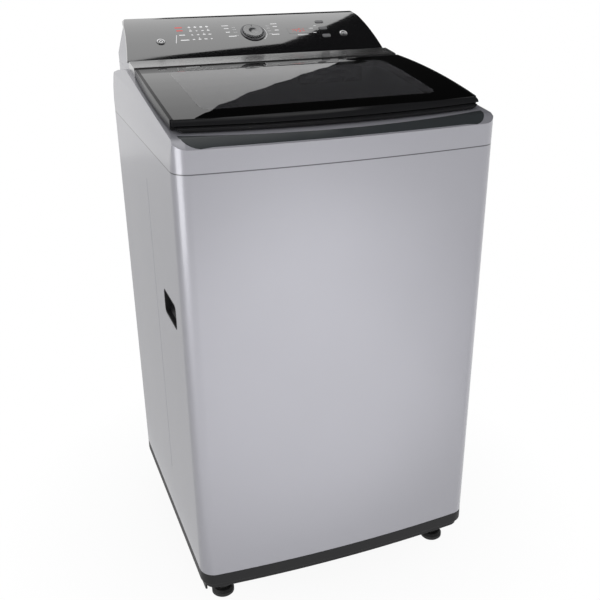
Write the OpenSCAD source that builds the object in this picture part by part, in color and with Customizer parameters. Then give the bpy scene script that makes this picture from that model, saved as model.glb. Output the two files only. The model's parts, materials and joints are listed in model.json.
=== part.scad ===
// Top load washing machine: a steel cabinet on a moulded base, a moulded top with a
// glass lid and a sloping control console, and a hung tub with basket, pulsator and belt drive.
// Millimetres. The origin is on the floor under the middle of the whole machine,
// +Z is up, the front faces -Y.

/* [Cabinet] */
// Width of the cabinet
body_w = 540; // [520:1:580]
// Depth of the cabinet, from the middle of its bowed front to its flat back
body_d = 542; // [530:1:580]
// How far the middle of the front stands out from its corners
front_bow = 13; // [8:1:18]
// Radius of the upright front corners
front_corner_r = 28; // [24:1:34]
// Radius of the upright rear corners
rear_corner_r = 40; // [32:1:48]
// Thickness of the steel sheet
sheet_t = 1.2; // [0.8:0.1:1.8]
// Height of the sheet cabinet, from the base to the top frame
cabinet_h = 743; // [720:1:800]
// Width of the flanges folded in at the cabinet's ends
flange_w = 16; // [12:1:20]
// Reach of the water inlet's thread behind the cabinet
inlet_reach = 18; // [14:1:26]

/* [Base and feet] */
// Height of the base's top face over the floor
base_top_z = 85; // [78:1:100]
// Height of the base's rim, flush with the cabinet
base_rim_h = 22; // [16:1:26]
// How far the skirt below the rim steps in
base_step = 7; // [4:1:10]
// Wall thickness of the moulded base
base_wall = 3; // [2.5:0.5:4]
// Distance of the feet from the middle, to each side
foot_x = 224; // [205:1:226]
// Distance of the feet from the cabinet's front and back
foot_inset = 60; // [52:1:70]
// Radius of a foot's pad
foot_r = 21; // [18:1:24]
// Radius of the front feet's threaded stem
foot_stem_r = 5; // [4:0.5:6]

/* [Top frame] */
// Height of the top frame's upright front face
face_h = 36; // [30:1:44]
// Slope of the band over the front face, in degrees
brow_a = 31; // [26:1:38]
// Depth of that sloping band, from front to back
brow_d = 18; // [14:1:22]
// Slope of the deck under the lid, in degrees
deck_a = 6; // [5:0.5:7]
// Wall thickness of the top frame
top_wall = 3; // [2.5:0.5:4]
// Radius of the crown of the top frame's sides
crown_r = 320; // [260:10:500]
// Width of the rim beside the loading opening
rim_w = 62; // [60:1:75]
// Distance of the opening from the front
open_front = 84; // [78:1:100]
// Distance of the opening's rear wall from the console's foot
sill_d = 17; // [14:1:24]
// How far the opening's collar hangs below the seam
collar_drop = 22; // [16:1:30]

/* [Lid] */
// How far the lid's front tips stay inside the cabinet's sides
lid_inset = 12; // [11:1:20]
// How much narrower the lid is at its hinge
lid_taper = 12; // [6:1:16]
// Distance of the lid's nose from the cabinet's front
nose_d = 40.5; // [39:0.5:50]
// Thickness of the lid
lid_t = 13; // [12:0.5:15]
// How far the lid's nose is bowed
nose_bow = 18; // [12:1:22]
// How far the lid's sides are bowed
side_bow = 3; // [1:0.5:4]
// How far the glass is crowned between hinge and nose
lid_crown = 5; // [3:0.5:7]
// Thickness of the glass
glass_t = 4; // [3:0.5:5]
// Gap between the deck and the lid
lid_gap = 2.5; // [2:0.5:3.5]
// Radius of the lid's hinge pins
hinge_pin_r = 3; // [2.5:0.5:3.5]
// Depth of the bar between the hinge axis and the console's foot
hinge_bar = 56.5; // [52:0.5:60]

/* [Console] */
// How far the fascia's bottom corners stay inside the cabinet's sides
console_inset = 18; // [17:1:28]
// How much narrower the fascia is at its top edge
console_taper = 26; // [16:1:40]
// Distance of the fascia's top edge from the cabinet's back
fascia_back = 2; // [2:0.5:8]
// Depth of the fascia, from bottom to top edge
fascia_run = 117; // [105:1:118]
// Height of the fascia, from bottom to top edge
fascia_rise = 59; // [50:1:70]
// How far the fascia bulges out between its edges
fascia_bulge = 8; // [5:1:11]
// Thickness of the fascia
fascia_t = 4; // [3:0.5:5]
// Radius of the program dial
dial_r = 19.5; // [17:0.5:21]
// Radius of the power and start buttons
button_r = 8; // [6:0.5:9]
// Travel of the buttons and keys
key_travel = 1; // [0.6:0.1:1.4]

/* [Tub and basket] */
// Outer radius of the tub
tub_r = 236; // [230:1:240]
// Wall thickness of the tub
tub_wall = 3; // [2.5:0.5:4]
// Height of the tub's underside over the base
tub_lift = 190; // [184:1:200]
// Depth of the tub's rim under the cabinet's top
tub_drop = 93; // [78:1:113]
// Gap between the tub's wall and the basket
basket_gap = 20; // [16:1:24]
// Thickness of the basket's sheet
basket_t = 1.5; // [1:0.1:2]
// Radius of the pulsator
pulsator_r = 165; // [150:1:172]
// How far the balance ring reaches in from the basket
balance_w = 29; // [25:1:35]

/* [Suspension] */
// Distance of the rods from the middle, to each side
rod_x = 216; // [212:1:219]
// Distance of the rods from the tub's axis, front and back
rod_y = 206; // [202:1:209]
// Radius of a suspension rod
rod_r = 4; // [3:0.5:5]
// Length of a suspension spring
spring_l = 70; // [64:1:76]
// Radius of a spring's wire
spring_wire_r = 1.6; // [1.2:0.1:2]

/* [Drive] */
// Distance of the motor's axis from the tub's axis
motor_x = 136; // [132:1:140]
// Radius of the motor
motor_r = 60; // [54:1:62]
// Height of the motor's housing
motor_h = 84; // [76:1:88]
// Radius of the gearcase
gearcase_r = 58; // [52:1:62]
// Radius of the belt's run on the large pulley
pulley_r = 56; // [50:1:58]
// Radius of the belt's run on the motor pulley
motor_pulley_r = 22; // [18:1:26]
// Radius of the pulsator's shaft
shaft_r = 7; // [6:0.5:8]

/* [Water] */
// Outer radius of the inlet's thread
inlet_r = 13.2; // [12:0.1:14]
// Outer radius of the drain outlet
outlet_r = 15; // [13:0.5:17]
// Width of the detergent drawer
drawer_w = 124; // [110:1:128]
// Height of the detergent drawer
drawer_h = 28; // [24:1:29]
// Depth of the detergent drawer
drawer_l = 112; // [100:1:116]
// Bore of the drain valve
valve_r = 17; // [15:0.5:19]
// Travel of the drain valve's plug
plug_travel = 14; // [10:1:16]
// Length of the brake lever's arm
lever_l = 36; // [32:1:40]

/* [Hidden] */
$fn = 64;

// Fits and clearances
slip = 0.3;           // between round faces that move past each other
run_fit = 0.06;       // radial clearance of a pin or shaft in its bore
eps = 1;              // how far a cut runs past the face that it opens

// Places that follow from the driving sizes
front_y = -(body_d + inlet_reach) / 2;
rear_y = front_y + body_d;
seam_z = base_top_z + cabinet_h;
bow_r = (body_w * body_w / 4 + front_bow * front_bow) / (2 * front_bow);
bow_cy = front_y + bow_r;
corner_cx = body_w / 2 - front_corner_r;
corner_cy = bow_cy - sqrt(pow(bow_r - front_corner_r, 2) - corner_cx * corner_cx);
corner_turn = atan2(bow_cy - corner_cy, corner_cx);
wide = body_w + 100;  // longer than any cut needs to be
feet = [[-foot_x, front_y + foot_inset], [foot_x, front_y + foot_inset],
        [-foot_x, rear_y - foot_inset], [foot_x, rear_y - foot_inset]];

// The deck: a plane that rises to the back from the rear edge of the brow
brow_z = seam_z + face_h;
deck_y0 = front_y + brow_d;
deck_z0 = brow_z + brow_d * tan(brow_a);
function deck_z(y) = deck_z0 + (y - deck_y0) * tan(deck_a);
fascia_y0 = rear_y - fascia_back - fascia_run;
cover_y1 = fascia_y0 - 14;
hinge_y = cover_y1 - hinge_bar;
lid_l = hinge_y - front_y - nose_d;
lid_w = body_w - 2 * lid_inset;
console_w = body_w - 2 * console_inset;
open_w = body_w - 2 * rim_w;
hinge_z = deck_z(hinge_y) + (lid_gap + lid_t / 2) / cos(deck_a);
open_y0 = front_y + open_front;
open_y1 = cover_y1 - sill_d;
seat_z = deck_z(cover_y1) - 2;

// The fascia: an arc through its bottom and top edges
fascia_z0 = deck_z(cover_y1) + 13.5;
fascia_chord = sqrt(fascia_run * fascia_run + fascia_rise * fascia_rise);
fascia_r = (fascia_chord * fascia_chord / 4 + fascia_bulge * fascia_bulge) / (2 * fascia_bulge);
fascia_lean = atan2(fascia_rise, fascia_run);
fascia_half = asin(fascia_chord / 2 / fascia_r);
fascia_cy = fascia_y0 + fascia_run / 2 + (fascia_r - fascia_bulge) * sin(fascia_lean);
fascia_cz = fascia_z0 + fascia_rise / 2 - (fascia_r - fascia_bulge) * cos(fascia_lean);
fascia_top_z = fascia_z0 + fascia_rise;
fascia_mid = fascia_half * fascia_r * PI / 180;
// Direction of the fascia's normal a distance s up from its bottom edge
function fascia_dir(s) = 90 + fascia_lean + fascia_half - s / fascia_r * 180 / PI;

// Controls: [x, distance up the fascia]
dial_at = [0, 60];
power_at = [70 - console_w / 2, 44];
start_at = [console_w / 2 - 70, 44];
key_x = console_w / 2 - 107;
key_at = [[key_x, 86], [key_x, 63], [key_x, 40]];
display_at = [key_x - 53, 60];
display_size = [42, 18];
ring_w = 4;
key_size = [17, 8];
board_depth = 24;
stem_z = 16.5;        // how deep the buttons' stems reach behind the fascia

// Tub, basket and drive heights
tub_y = (front_y + rear_y) / 2;
tub_z = base_top_z + tub_lift;
tub_h = cabinet_h - tub_lift - tub_drop;
tub_top_z = tub_z + tub_h;
tub_in_r = tub_r - tub_wall;
basket_r = tub_in_r - basket_gap;
mouth_r = basket_r - balance_w;
basket_z = tub_z + 24;
basket_top_z = tub_top_z - 10;
plate_t = 3;
plate_z = tub_z - 14;
belt_z = plate_z - motor_h - 26;
belt_h = 9;
lug_z = tub_z - 6;
rods = [for (sx = [-1, 1], sy = [-1, 1]) [sx * rod_x, tub_y + sy * rod_y]];
bracket_z = seam_z - sheet_t - 10;
spring_top_z = lug_z - 12;
spring_z = spring_top_z - spring_l;
tube_r = shaft_r + 6;
bush_r = shaft_r + run_fit;

// Drain valve, its pull rod and the brake lever that the rod takes along
drain_x = -150;
link_r = 4;
link_y = gearcase_r + 7 + lever_l;
drain_y = tub_y + link_y;
plate_half = link_y + 24;
valve_mid_z = plate_z - valve_r - 9;
lever_z = valve_mid_z + link_r + 4;
pin_off = -plug_travel / 2;
lever_rest = atan(pin_off / lever_l);
actuator_x0 = 34;
link_end = actuator_x0 - drain_x - 2;
outlet_x = drain_x - 40;
outlet_z = base_top_z + 26;
bellows_z = outlet_z + outlet_r + 26;
bellows_top = valve_mid_z - valve_r - 12;

// Detergent drawer
drawer_x = open_w / 2 - drawer_w / 2 - 20;
drawer_z = seat_z - top_wall - 7 - drawer_h;

// ---- outlines

// Points of an arc, with both of its ends
function arc(cx, cy, r, a0, a1, n) =
  [for (k = [0:n]) [cx + r * cos(a0 + (a1 - a0) * k / n), cy + r * sin(a0 + (a1 - a0) * k / n)]];

// Outline of the cabinet seen from above, moved in by i
function plan(i) = concat(
  arc(-corner_cx, corner_cy, front_corner_r - i, 180, 180 + corner_turn, 8),
  [for (k = [1:15]) let (a = 180 + corner_turn + (180 - 2 * corner_turn) * k / 16)
    [(bow_r - i) * cos(a), bow_cy + (bow_r - i) * sin(a)]],
  arc(corner_cx, corner_cy, front_corner_r - i, 360 - corner_turn, 360, 8),
  arc(body_w / 2 - rear_corner_r, rear_y - rear_corner_r, rear_corner_r - i, 0, 90, 8),
  arc(-body_w / 2 + rear_corner_r, rear_y - rear_corner_r, rear_corner_r - i, 90, 180, 8));

// Rectangle with round corners between x0,y0 and x1,y1
function rounded(x0, y0, x1, y1, r) = concat(
  arc(x0 + r, y0 + r, r, 180, 270, 6), arc(x1 - r, y0 + r, r, 270, 360, 6),
  arc(x1 - r, y1 - r, r, 0, 90, 6), arc(x0 + r, y1 - r, r, 90, 180, 6));

module plan_prism(i, z0, z1) {
  translate([0, 0, z0]) linear_extrude(z1 - z0) polygon(plan(i));
}

module plan_ring(i0, i1, z0, z1) {
  difference() {
    plan_prism(i0, z0, z1);
    plan_prism(i1, z0 - eps, z1 + eps);
  }
}

module rounded_block(x0, y0, z0, x1, y1, z1, r) {
  translate([0, 0, z0]) linear_extrude(z1 - z0) polygon(rounded(x0, y0, x1, y1, r));
}

module block(x0, y0, z0, x1, y1, z1) {
  translate([x0, y0, z0]) cube([x1 - x0, y1 - y0, z1 - z0]);
}

// Extrudes an outline drawn in Y and Z from x0 to x1
module along_x(x0, x1) {
  translate([x0, 0, 0]) rotate([90, 0, 90]) linear_extrude(x1 - x0) children();
}

// Extrudes an outline drawn in X and Z from y0 to y1
module along_y(y0, y1) {
  translate([0, y1, 0]) rotate([90, 0, 0]) linear_extrude(y1 - y0) children();
}

module ring(r0, r1, z0, z1) {
  translate([0, 0, z0]) difference() {
    cylinder(r = r1, h = z1 - z0, $fn = 96);
    translate([0, 0, -eps]) cylinder(r = r0, h = z1 - z0 + 2 * eps, $fn = 96);
  }
}

module disc(r, z0, z1) {
  translate([0, 0, z0]) cylinder(r = r, h = z1 - z0);
}

module both_sides() {
  children();
  mirror([1, 0, 0]) children();
}

module at_tub() {
  translate([0, tub_y, 0]) children();
}

// Puts a child on the fascia: its origin on the surface, +Z straight out of it
module on_fascia(at) {
  d = fascia_dir(at[1]);
  translate([at[0], fascia_cy + fascia_r * cos(d), fascia_cz + fascia_r * sin(d)])
    rotate([d - 90, 0, 0]) children();
}

// Puts a child in the lid's own frame: X along the hinge axis, +Z out of the glass
module in_lid() {
  translate([0, hinge_y, hinge_z]) rotate([deck_a, 0, 0]) children();
}

// ---- cabinet

back_half = body_w / 2 - rear_corner_r - 16;
grip_y = front_y + 118;
grip_z = base_top_z + 490;
grip_w = 88;
grip_h = 44;
bead_y = front_y + 232;

module grip_outline(grow) {
  polygon(rounded(grip_y - grip_w / 2 - grow, grip_z - grip_h / 2 - grow,
                  grip_y + grip_w / 2 + grow, grip_z + grip_h / 2 + grow, 9 + grow));
}

module cabinet_shell() {
  color("silver") difference() {
    union() {
      plan_ring(0, sheet_t, base_top_z, seam_z);
      plan_ring(sheet_t / 2, flange_w, base_top_z, base_top_z + sheet_t);
      plan_ring(sheet_t / 2, flange_w, seam_z - sheet_t, seam_z);
    }
    block(-back_half, rear_y - sheet_t, base_top_z - eps, back_half, rear_y + eps, seam_z + eps);
    along_x(-wide / 2, wide / 2) grip_outline(0.4);
    outlet_hole();
    // A shallow stiffening groove runs up each side
    both_sides() translate([-body_w / 2 - 1.9, bead_y, base_top_z + 100])
      cylinder(r = 2.5, h = cabinet_h - 160);
  }
}

module outlet_hole() {
  translate([outlet_x, rear_y - 5, outlet_z]) rotate([-90, 0, 0]) cylinder(r = outlet_r + 2, h = 10);
}

panel_half = back_half + 10;

module rear_panel() {
  color("lightgray") difference() {
    union() {
      block(-panel_half, rear_y, base_top_z + 5, panel_half, rear_y + sheet_t, seam_z - 5);
      // Pressed stiffening ribs
      for (x = [-150, 0, 150])
        block(x - 9, rear_y + sheet_t / 2, base_top_z + 190, x + 9, rear_y + sheet_t + 2, seam_z - 60);
    }
    // Cooling louvres low down, behind the motor
    for (x = [-60, 20, 100], k = [0:5])
      block(x, rear_y - eps, base_top_z + 60 + 14 * k, x + 56, rear_y + 4, base_top_z + 65 + 14 * k);
    outlet_hole();
    panel_screw_holes();
  }
}

panel_screws = [for (x = [-panel_half + 5, panel_half - 5], z = [base_top_z + 80, base_top_z + 250,
                base_top_z + 480, seam_z - 40]) [x, z]];

module panel_screw_holes() {
  for (p = panel_screws) translate([p[0], rear_y - eps, p[1]]) rotate([-90, 0, 0])
    cylinder(r = 2, h = 6);
}

module case_screws() {
  color("gray") for (p = panel_screws) translate([p[0], rear_y + sheet_t, p[1]])
    rotate([-90, 0, 0]) union() {
      difference() {
        cylinder(r = 4, h = 2.2);
        translate([-2.6, -0.5, 1.2]) cube([5.2, 1, 2]);
        translate([-0.5, -2.6, 1.2]) cube([1, 5.2, 2]);
      }
      translate([0, 0, -sheet_t]) cylinder(r = 1.9, h = sheet_t + 0.5);
    }
}

// A dished cup in each side, to lift the machine by
grip_depth = 26;
module hand_grips() {
  color("dimgray") both_sides() difference() {
    union() {
      // The rim lies against the sheet from inside
      along_x(body_w / 2 - sheet_t - 2, body_w / 2 - sheet_t) grip_outline(4);
      along_x(body_w / 2 - grip_depth - 2, body_w / 2) grip_outline(0.2);
    }
    intersection() {
      along_x(body_w / 2 - grip_depth, body_w / 2 + 2) grip_outline(-2.5);
      // The cup's floor slants in towards its top, where the fingers hook
      along_y(grip_y - grip_w, grip_y + grip_w) polygon([
        [body_w / 2 + 3, grip_z - grip_h], [body_w / 2 - 6, grip_z - grip_h / 2],
        [body_w / 2 - grip_depth, grip_z + 4], [body_w / 2 - grip_depth, grip_z + grip_h],
        [body_w / 2 + 3, grip_z + grip_h]]);
    }
  }
}

// ---- base and feet

base_rim_z = base_top_z - base_rim_h;
skirt_z = 50;
rear_skirt_z = 38;
deck_t = 4;
tower_z = 30;
tower_r = 24;
motor_gap = 172;

module base_frame() {
  color("#303234") difference() {
    union() {
      plan_ring(0, base_wall, base_rim_z, base_top_z);
      plan_ring(base_step, base_step + base_wall, skirt_z - 12, base_rim_z + base_wall);
      plan_ring(base_wall / 2, base_step + base_wall, base_rim_z, base_rim_z + base_wall);
      difference() {
        plan_prism(base_wall / 2, base_top_z - deck_t, base_top_z);
        rounded_block(-motor_gap, front_y + 84, base_top_z - 2 * deck_t, motor_gap, rear_y - 84,
                      base_top_z + eps, 30);
      }
      // A raised lip stiffens the edge of the opening
      difference() {
        rounded_block(-motor_gap - 3, front_y + 81, base_top_z - 24, motor_gap + 3, rear_y - 81,
                      base_top_z - deck_t / 2, 33);
        rounded_block(-motor_gap, front_y + 84, base_top_z - 30, motor_gap, rear_y - 84,
                      base_top_z + eps, 30);
      }
      for (f = feet) translate([f[0], f[1], 0]) {
        disc(tower_r, tower_z, base_top_z - deck_t / 2);
        // Ribs tie each foot tower to the skirt and the deck
        for (a = [0, 90]) rotate([0, 0, a])
          translate([-base_wall / 2, -body_w / 2 + foot_x + base_step + base_wall / 2, base_rim_z - 8])
            cube([base_wall, 2 * (body_w / 2 - foot_x - base_step) - base_wall,
                  base_rim_h + 8 - deck_t / 2]);
      }
      // Ribs across the deck, beside the opening
      for (y = [front_y + 150, tub_y, rear_y - 150], s = [-1, 1])
        block(min(s * motor_gap, s * (body_w / 2 - base_step - 1)), y - base_wall / 2, base_top_z - 20,
              max(s * motor_gap, s * (body_w / 2 - base_step - 1)), y + base_wall / 2,
              base_top_z - deck_t / 2);
    }
    // Along the sides and front the skirt is cut back to different heights
    along_x(-wide / 2, wide / 2) polygon([
      [front_y + 96, 0], [front_y + 110, base_rim_z - 6], [rear_y - 165, base_rim_z - 6],
      [rear_y - 150, 0]]);
    block(-wide / 2, front_y - eps, skirt_z - 14, wide / 2, front_y + 34, skirt_z);
    block(-wide / 2, rear_y - 34, skirt_z - 14, -foot_x - tower_r, rear_y + eps, rear_skirt_z);
    for (k = [0, 1]) translate([feet[k][0], feet[k][1], 0])
      disc(foot_stem_r + run_fit, tower_z - eps, base_top_z + eps);
  }
}

// A foot with a rubber pad; the front ones end in a threaded stem
pad_h = 14;
module foot_pad() {
  rotate_extrude() polygon([[0, 0], [foot_r - 3, 0], [foot_r, 3], [foot_r, pad_h - 5],
    [foot_r - 4, pad_h], [0, pad_h]]);
}

module front_foot() {
  difference() {
    union() {
      foot_pad();
      translate([0, 0, pad_h - 0.5]) cylinder(r = 11, h = 8.5, $fn = 6);
      disc(foot_stem_r, pad_h, base_top_z - deck_t - 6);
    }
    // A slot to turn the stem from above
    translate([-foot_stem_r, -0.8, base_top_z - deck_t - 9]) cube([2 * foot_stem_r, 1.6, 4]);
  }
}

module front_foot_left() {
  color("#2b2b2d") translate([feet[0][0], feet[0][1], 0]) front_foot();
}

module front_foot_right() {
  color("#2b2b2d") translate([feet[1][0], feet[1][1], 0]) front_foot();
}

// Lock nuts hold the front feet's stems against the towers
module foot_nuts() {
  color("gray") for (k = [0, 1]) translate([feet[k][0], feet[k][1], tower_z - 6]) difference() {
    cylinder(r = 10, h = 6, $fn = 6);
    translate([0, 0, -eps]) cylinder(r = foot_stem_r + run_fit, h = 8);
  }
}

module rear_feet() {
  color("#2b2b2d") for (k = [2, 3]) translate([feet[k][0], feet[k][1], 0]) union() {
    foot_pad();
    disc(foot_r - 7, pad_h - 1, tower_z);
  }
}

// ---- top frame

// Side outline of the top, lowered by drop: the deck, then the fall behind the console
function top_side(drop) = [
  [front_y - 10, seam_z - 80], [front_y - 10, deck_z(front_y - 10) - drop],
  [cover_y1, deck_z(cover_y1) - drop], [cover_y1 + 26, seat_z + 0.4 - drop],
  [cover_y1 + 76, seat_z - 8 - drop], [cover_y1 + 110, seat_z - 16 - drop],
  [rear_y + 5, seat_z - 30 - drop], [rear_y + 5, seam_z - 80]];

// Front outline of the top's crowned sides, moved in by i
crown_n = 8;
crown_h = 120;
function crown_x(z, i) = body_w / 2 - i - pow(max(z - seam_z, 0), 2) / (2 * crown_r);
function crown(i) = concat(
  [[-body_w / 2 + i, seam_z - 80]],
  [for (k = [0:crown_n]) [-crown_x(seam_z + crown_h * k / crown_n, i), seam_z + crown_h * k / crown_n]],
  [for (k = [crown_n:-1:0]) [crown_x(seam_z + crown_h * k / crown_n, i), seam_z + crown_h * k / crown_n]],
  [[body_w / 2 - i, seam_z - 80]]);

// Everything below the brow, a sloping band that follows the bow of the front
brow_n = 8;
module below_brow(drop) {
  half = body_w / 2 + 20;
  translate([0, front_y, brow_z - drop]) rotate([90 + brow_a, 0, 0])
    linear_extrude(2 * body_d, center = true) polygon(concat(
      [for (k = [-brow_n:brow_n]) let (x = half * k / brow_n)
        [-x, -sin(brow_a) * x * x / (2 * bow_r)]],
      [[-half, -body_w], [half, -body_w]]));
}

// The top's outer form, with its walls moved in by i and its top lowered by drop
module top_form(i, drop, z0) {
  intersection() {
    plan_prism(i, z0, seam_z + crown_h - 1);
    along_y(front_y - 20, rear_y + 20) polygon(crown(i));
    along_x(-wide / 2, wide / 2) polygon(top_side(drop));
    below_brow(drop);
  }
}

module opening_prism(grow, z0, z1) {
  translate([0, 0, z0]) linear_extrude(z1 - z0) polygon(concat(
    arc(-open_w / 2 + 58, open_y0 + 58, 58 + grow, 180, 270, 8),
    arc(open_w / 2 - 58, open_y0 + 58, 58 + grow, 270, 360, 8),
    arc(open_w / 2 - 20, open_y1 - 20, 20 + grow, 0, 90, 6),
    arc(-open_w / 2 + 20, open_y1 - 20, 20 + grow, 90, 180, 6)));
}

// Outline of the inlaid strip on the brow: its back edge curves away at the ends
strip_half = body_w / 2 - 16;
strip_sag = 28;
strip_r = (strip_half * strip_half + strip_sag * strip_sag) / (2 * strip_sag);
module strip_outline(i) {
  intersection() {
    polygon(concat(
      arc(-strip_half + 34, front_y + 40 + 3, 34 - i, 180, 256, 6),
      [for (k = [0:16]) let (a = 270 + (k - 8) * asin((strip_half - 44) / bow_r) / 8)
        [(bow_r - 3 - i) * cos(a), bow_cy + (bow_r - 3 - i) * sin(a)]],
      arc(strip_half - 34, front_y + 40 + 3, 34 - i, 284, 360, 6),
      [[strip_half - i, front_y + 60], [-strip_half + i, front_y + 60]]));
    translate([0, front_y - 40]) polygon(concat(
      [[-strip_half - 5, -60], [strip_half + 5, -60]],
      arc(0, 40 + brow_d - i + strip_r, strip_r, 270 + asin(0.999 * strip_half / strip_r),
          270 - asin(0.999 * strip_half / strip_r), 16)));
  }
}

console_half = console_w / 2 - 4;
hook_x = body_w / 2 - 40;
hook_y = tub_y - 10;

module top_frame() {
  color("silver") difference() {
    union() {
      difference() {
        union() {
          top_form(0, 0, seam_z);
          // Raised seat of the console
          intersection() {
            block(-console_half, cover_y1, seat_z - 34, console_half, rear_y + 5, seat_z);
            plan_prism(0, seam_z, seat_z + 1);
          }
        }
        difference() {
          union() {
            top_form(top_wall, top_wall, seam_z - eps);
            intersection() {
              block(-console_half + top_wall, cover_y1 + top_wall, seat_z - 40,
                    console_half - top_wall, rear_y, seat_z - top_wall);
              plan_prism(top_wall, seam_z, seat_z + 1);
            }
          }
          // The collar round the loading opening stays
          opening_prism(top_wall, seam_z - 2 * eps, seam_z + crown_h);
        }
        block(-console_half - 0.2, cover_y1, seat_z, console_half + 0.2, rear_y + 2 * eps, seat_z + 40);
      }
      difference() {
        opening_prism(top_wall, seam_z - collar_drop, seam_z + eps);
        opening_prism(0, seam_z - collar_drop - eps, seam_z + 2 * eps);
      }
      // Screw bosses and ribs between the side walls and the collar
      intersection() {
        both_sides() for (y = [open_y0 + 70, tub_y + 70])
          block(open_w / 2 + top_wall / 2, y, seam_z + 2, body_w / 2, y + top_wall, seam_z + crown_h);
        top_form(top_wall / 2, top_wall / 2, seam_z);
      }
    }
    opening_prism(0, seam_z - collar_drop - eps, seam_z + crown_h);
    // Recess of the inlaid strip
    difference() {
      translate([0, 0, seam_z + 4]) linear_extrude(crown_h) strip_outline(0);
      top_form(0, 1, seam_z);
    }
    // Mouth of the drawer in the opening's rear wall
    block(drawer_x - drawer_w / 2 - 1, open_y1 - eps, drawer_z - 1, drawer_x + drawer_w / 2 + 1,
          open_y1 + top_wall + eps, drawer_z + drawer_h + 1);
    // Slot that the lid's hook drops through
    block(hook_x - 5, hook_y - 15, seam_z + 20, hook_x + 5, hook_y + 18, seam_z + crown_h);
    // Hole of the water inlet's thread
    translate([inlet_x, rear_y - 30, inlet_z]) rotate([-90, 0, 0])
      cylinder(r = inlet_r + 0.5, h = 40);
    // Way for the console's wires
    block(-60, cover_y1 + 40, seat_z - 10, -20, cover_y1 + 70, seat_z + eps);
  }
}

module trim_strip() {
  color("#3d4244") intersection() {
    difference() {
      top_form(0.05, -0.2, seam_z);
      top_form(0, 1, seam_z - eps);
    }
    translate([0, 0, seam_z + 4]) linear_extrude(crown_h) strip_outline(0.15);
  }
}

// Glossy bar between lid and console that carries the hinge knuckles
knuckle_x = 150;
knuckle_w = 26;
cover_front = lid_t / 2 + 0.8;

module hinge_cover() {
  cover_l = (cover_y1 - hinge_y) / cos(deck_a);
  color("#1c1c1e") in_lid() difference() {
    union() {
      along_x(-lid_w / 2 + lid_taper / 2, lid_w / 2 - lid_taper / 2) polygon([
        [cover_front, -lid_t / 2 - lid_gap], [cover_l, -lid_t / 2 - lid_gap],
        [cover_l, lid_t / 2], [cover_front + 5, lid_t / 2], [cover_front, lid_t / 2 - 6]]);
      for (x = [-knuckle_x, knuckle_x]) along_x(x - knuckle_w / 2, x + knuckle_w / 2) union() {
        circle(r = lid_t / 2 - 0.5);
        translate([0, -lid_t / 2 + 0.5]) square([cover_front + 1, lid_t / 2]);
      }
    }
    rotate([0, 90, 0]) cylinder(r = hinge_pin_r + run_fit, h = wide, center = true);
    // Hollow underneath, so that the bar is a moulded channel
    for (x = [-lid_w / 4, lid_w / 4]) block(x - lid_w / 4 + 18, cover_front + 6, -lid_t / 2 - lid_gap - eps,
      x + lid_w / 4 - 18, cover_l - 4, lid_t / 2 - 4);
  }
}

// ---- lid

glass_front = lid_l - 20;
glass_inset = 5;
window_half = 200;
window_front = glass_front - 36;
window_rear = 28;
nose_r = (lid_w * lid_w / 4 + nose_bow * nose_bow) / (2 * nose_bow);
nose_half = asin(lid_w / 2 / nose_r);
lip_reach = 8;
// Half the lid's width at a distance d from the hinge axis
function lid_half(d) = let (u = d / (lid_l - nose_bow))
  lid_w / 2 - lid_taper / 2 * (1 - u) + 4 * side_bow * u * (1 - u);

// Both sides of the lid from d0 to d1, moved in by i
function lid_side(d0, d1, i) = concat(
  [for (k = [0:12]) let (d = d0 + (d1 - d0) * k / 12) [i - lid_half(d), -d]],
  [for (k = [0:12]) let (d = d1 + (d0 - d1) * k / 12) [lid_half(d) - i, -d]]);

module glass_outline(i) {
  polygon(lid_side(3 + i, glass_front - 6 - i, glass_inset + i));
  polygon([[glass_inset + i - lid_half(glass_front), 7 - glass_front + i],
    [glass_inset + i - lid_half(glass_front), 6 - glass_front + i],
    [60 - lid_w / 2, 1.5 - glass_front + i], [0, i - glass_front], [lid_w / 2 - 60, 1.5 - glass_front + i],
    [lid_half(glass_front) - glass_inset - i, 6 - glass_front + i],
    [lid_half(glass_front) - glass_inset - i, 7 - glass_front + i]]);
}

// Everything more than d under the lid's crowned top
crown_arc_r = (lid_l * lid_l / 4 + lid_crown * lid_crown) / (2 * lid_crown);
module under_crown(d) {
  along_x(-wide / 2, wide / 2) translate([-lid_l / 2, lid_t / 2 + lid_crown - crown_arc_r])
    circle(r = crown_arc_r - d, $fn = 1440);
}

// The glass's outline, from h under the crowned top up
module glass_room(h, i) {
  difference() {
    translate([0, 0, -lid_t / 2]) linear_extrude(2 * lid_t) glass_outline(i);
    under_crown(h);
  }
}

// A profile drawn as [distance in front of the nose, height], swept along the nose's bow
module along_nose() {
  translate([0, -lid_l + nose_r, 0]) rotate([0, 0, -90 - nose_half])
    rotate_extrude(angle = 2 * nose_half, $fn = 360) translate([nose_r, 0]) children();
}

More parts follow.
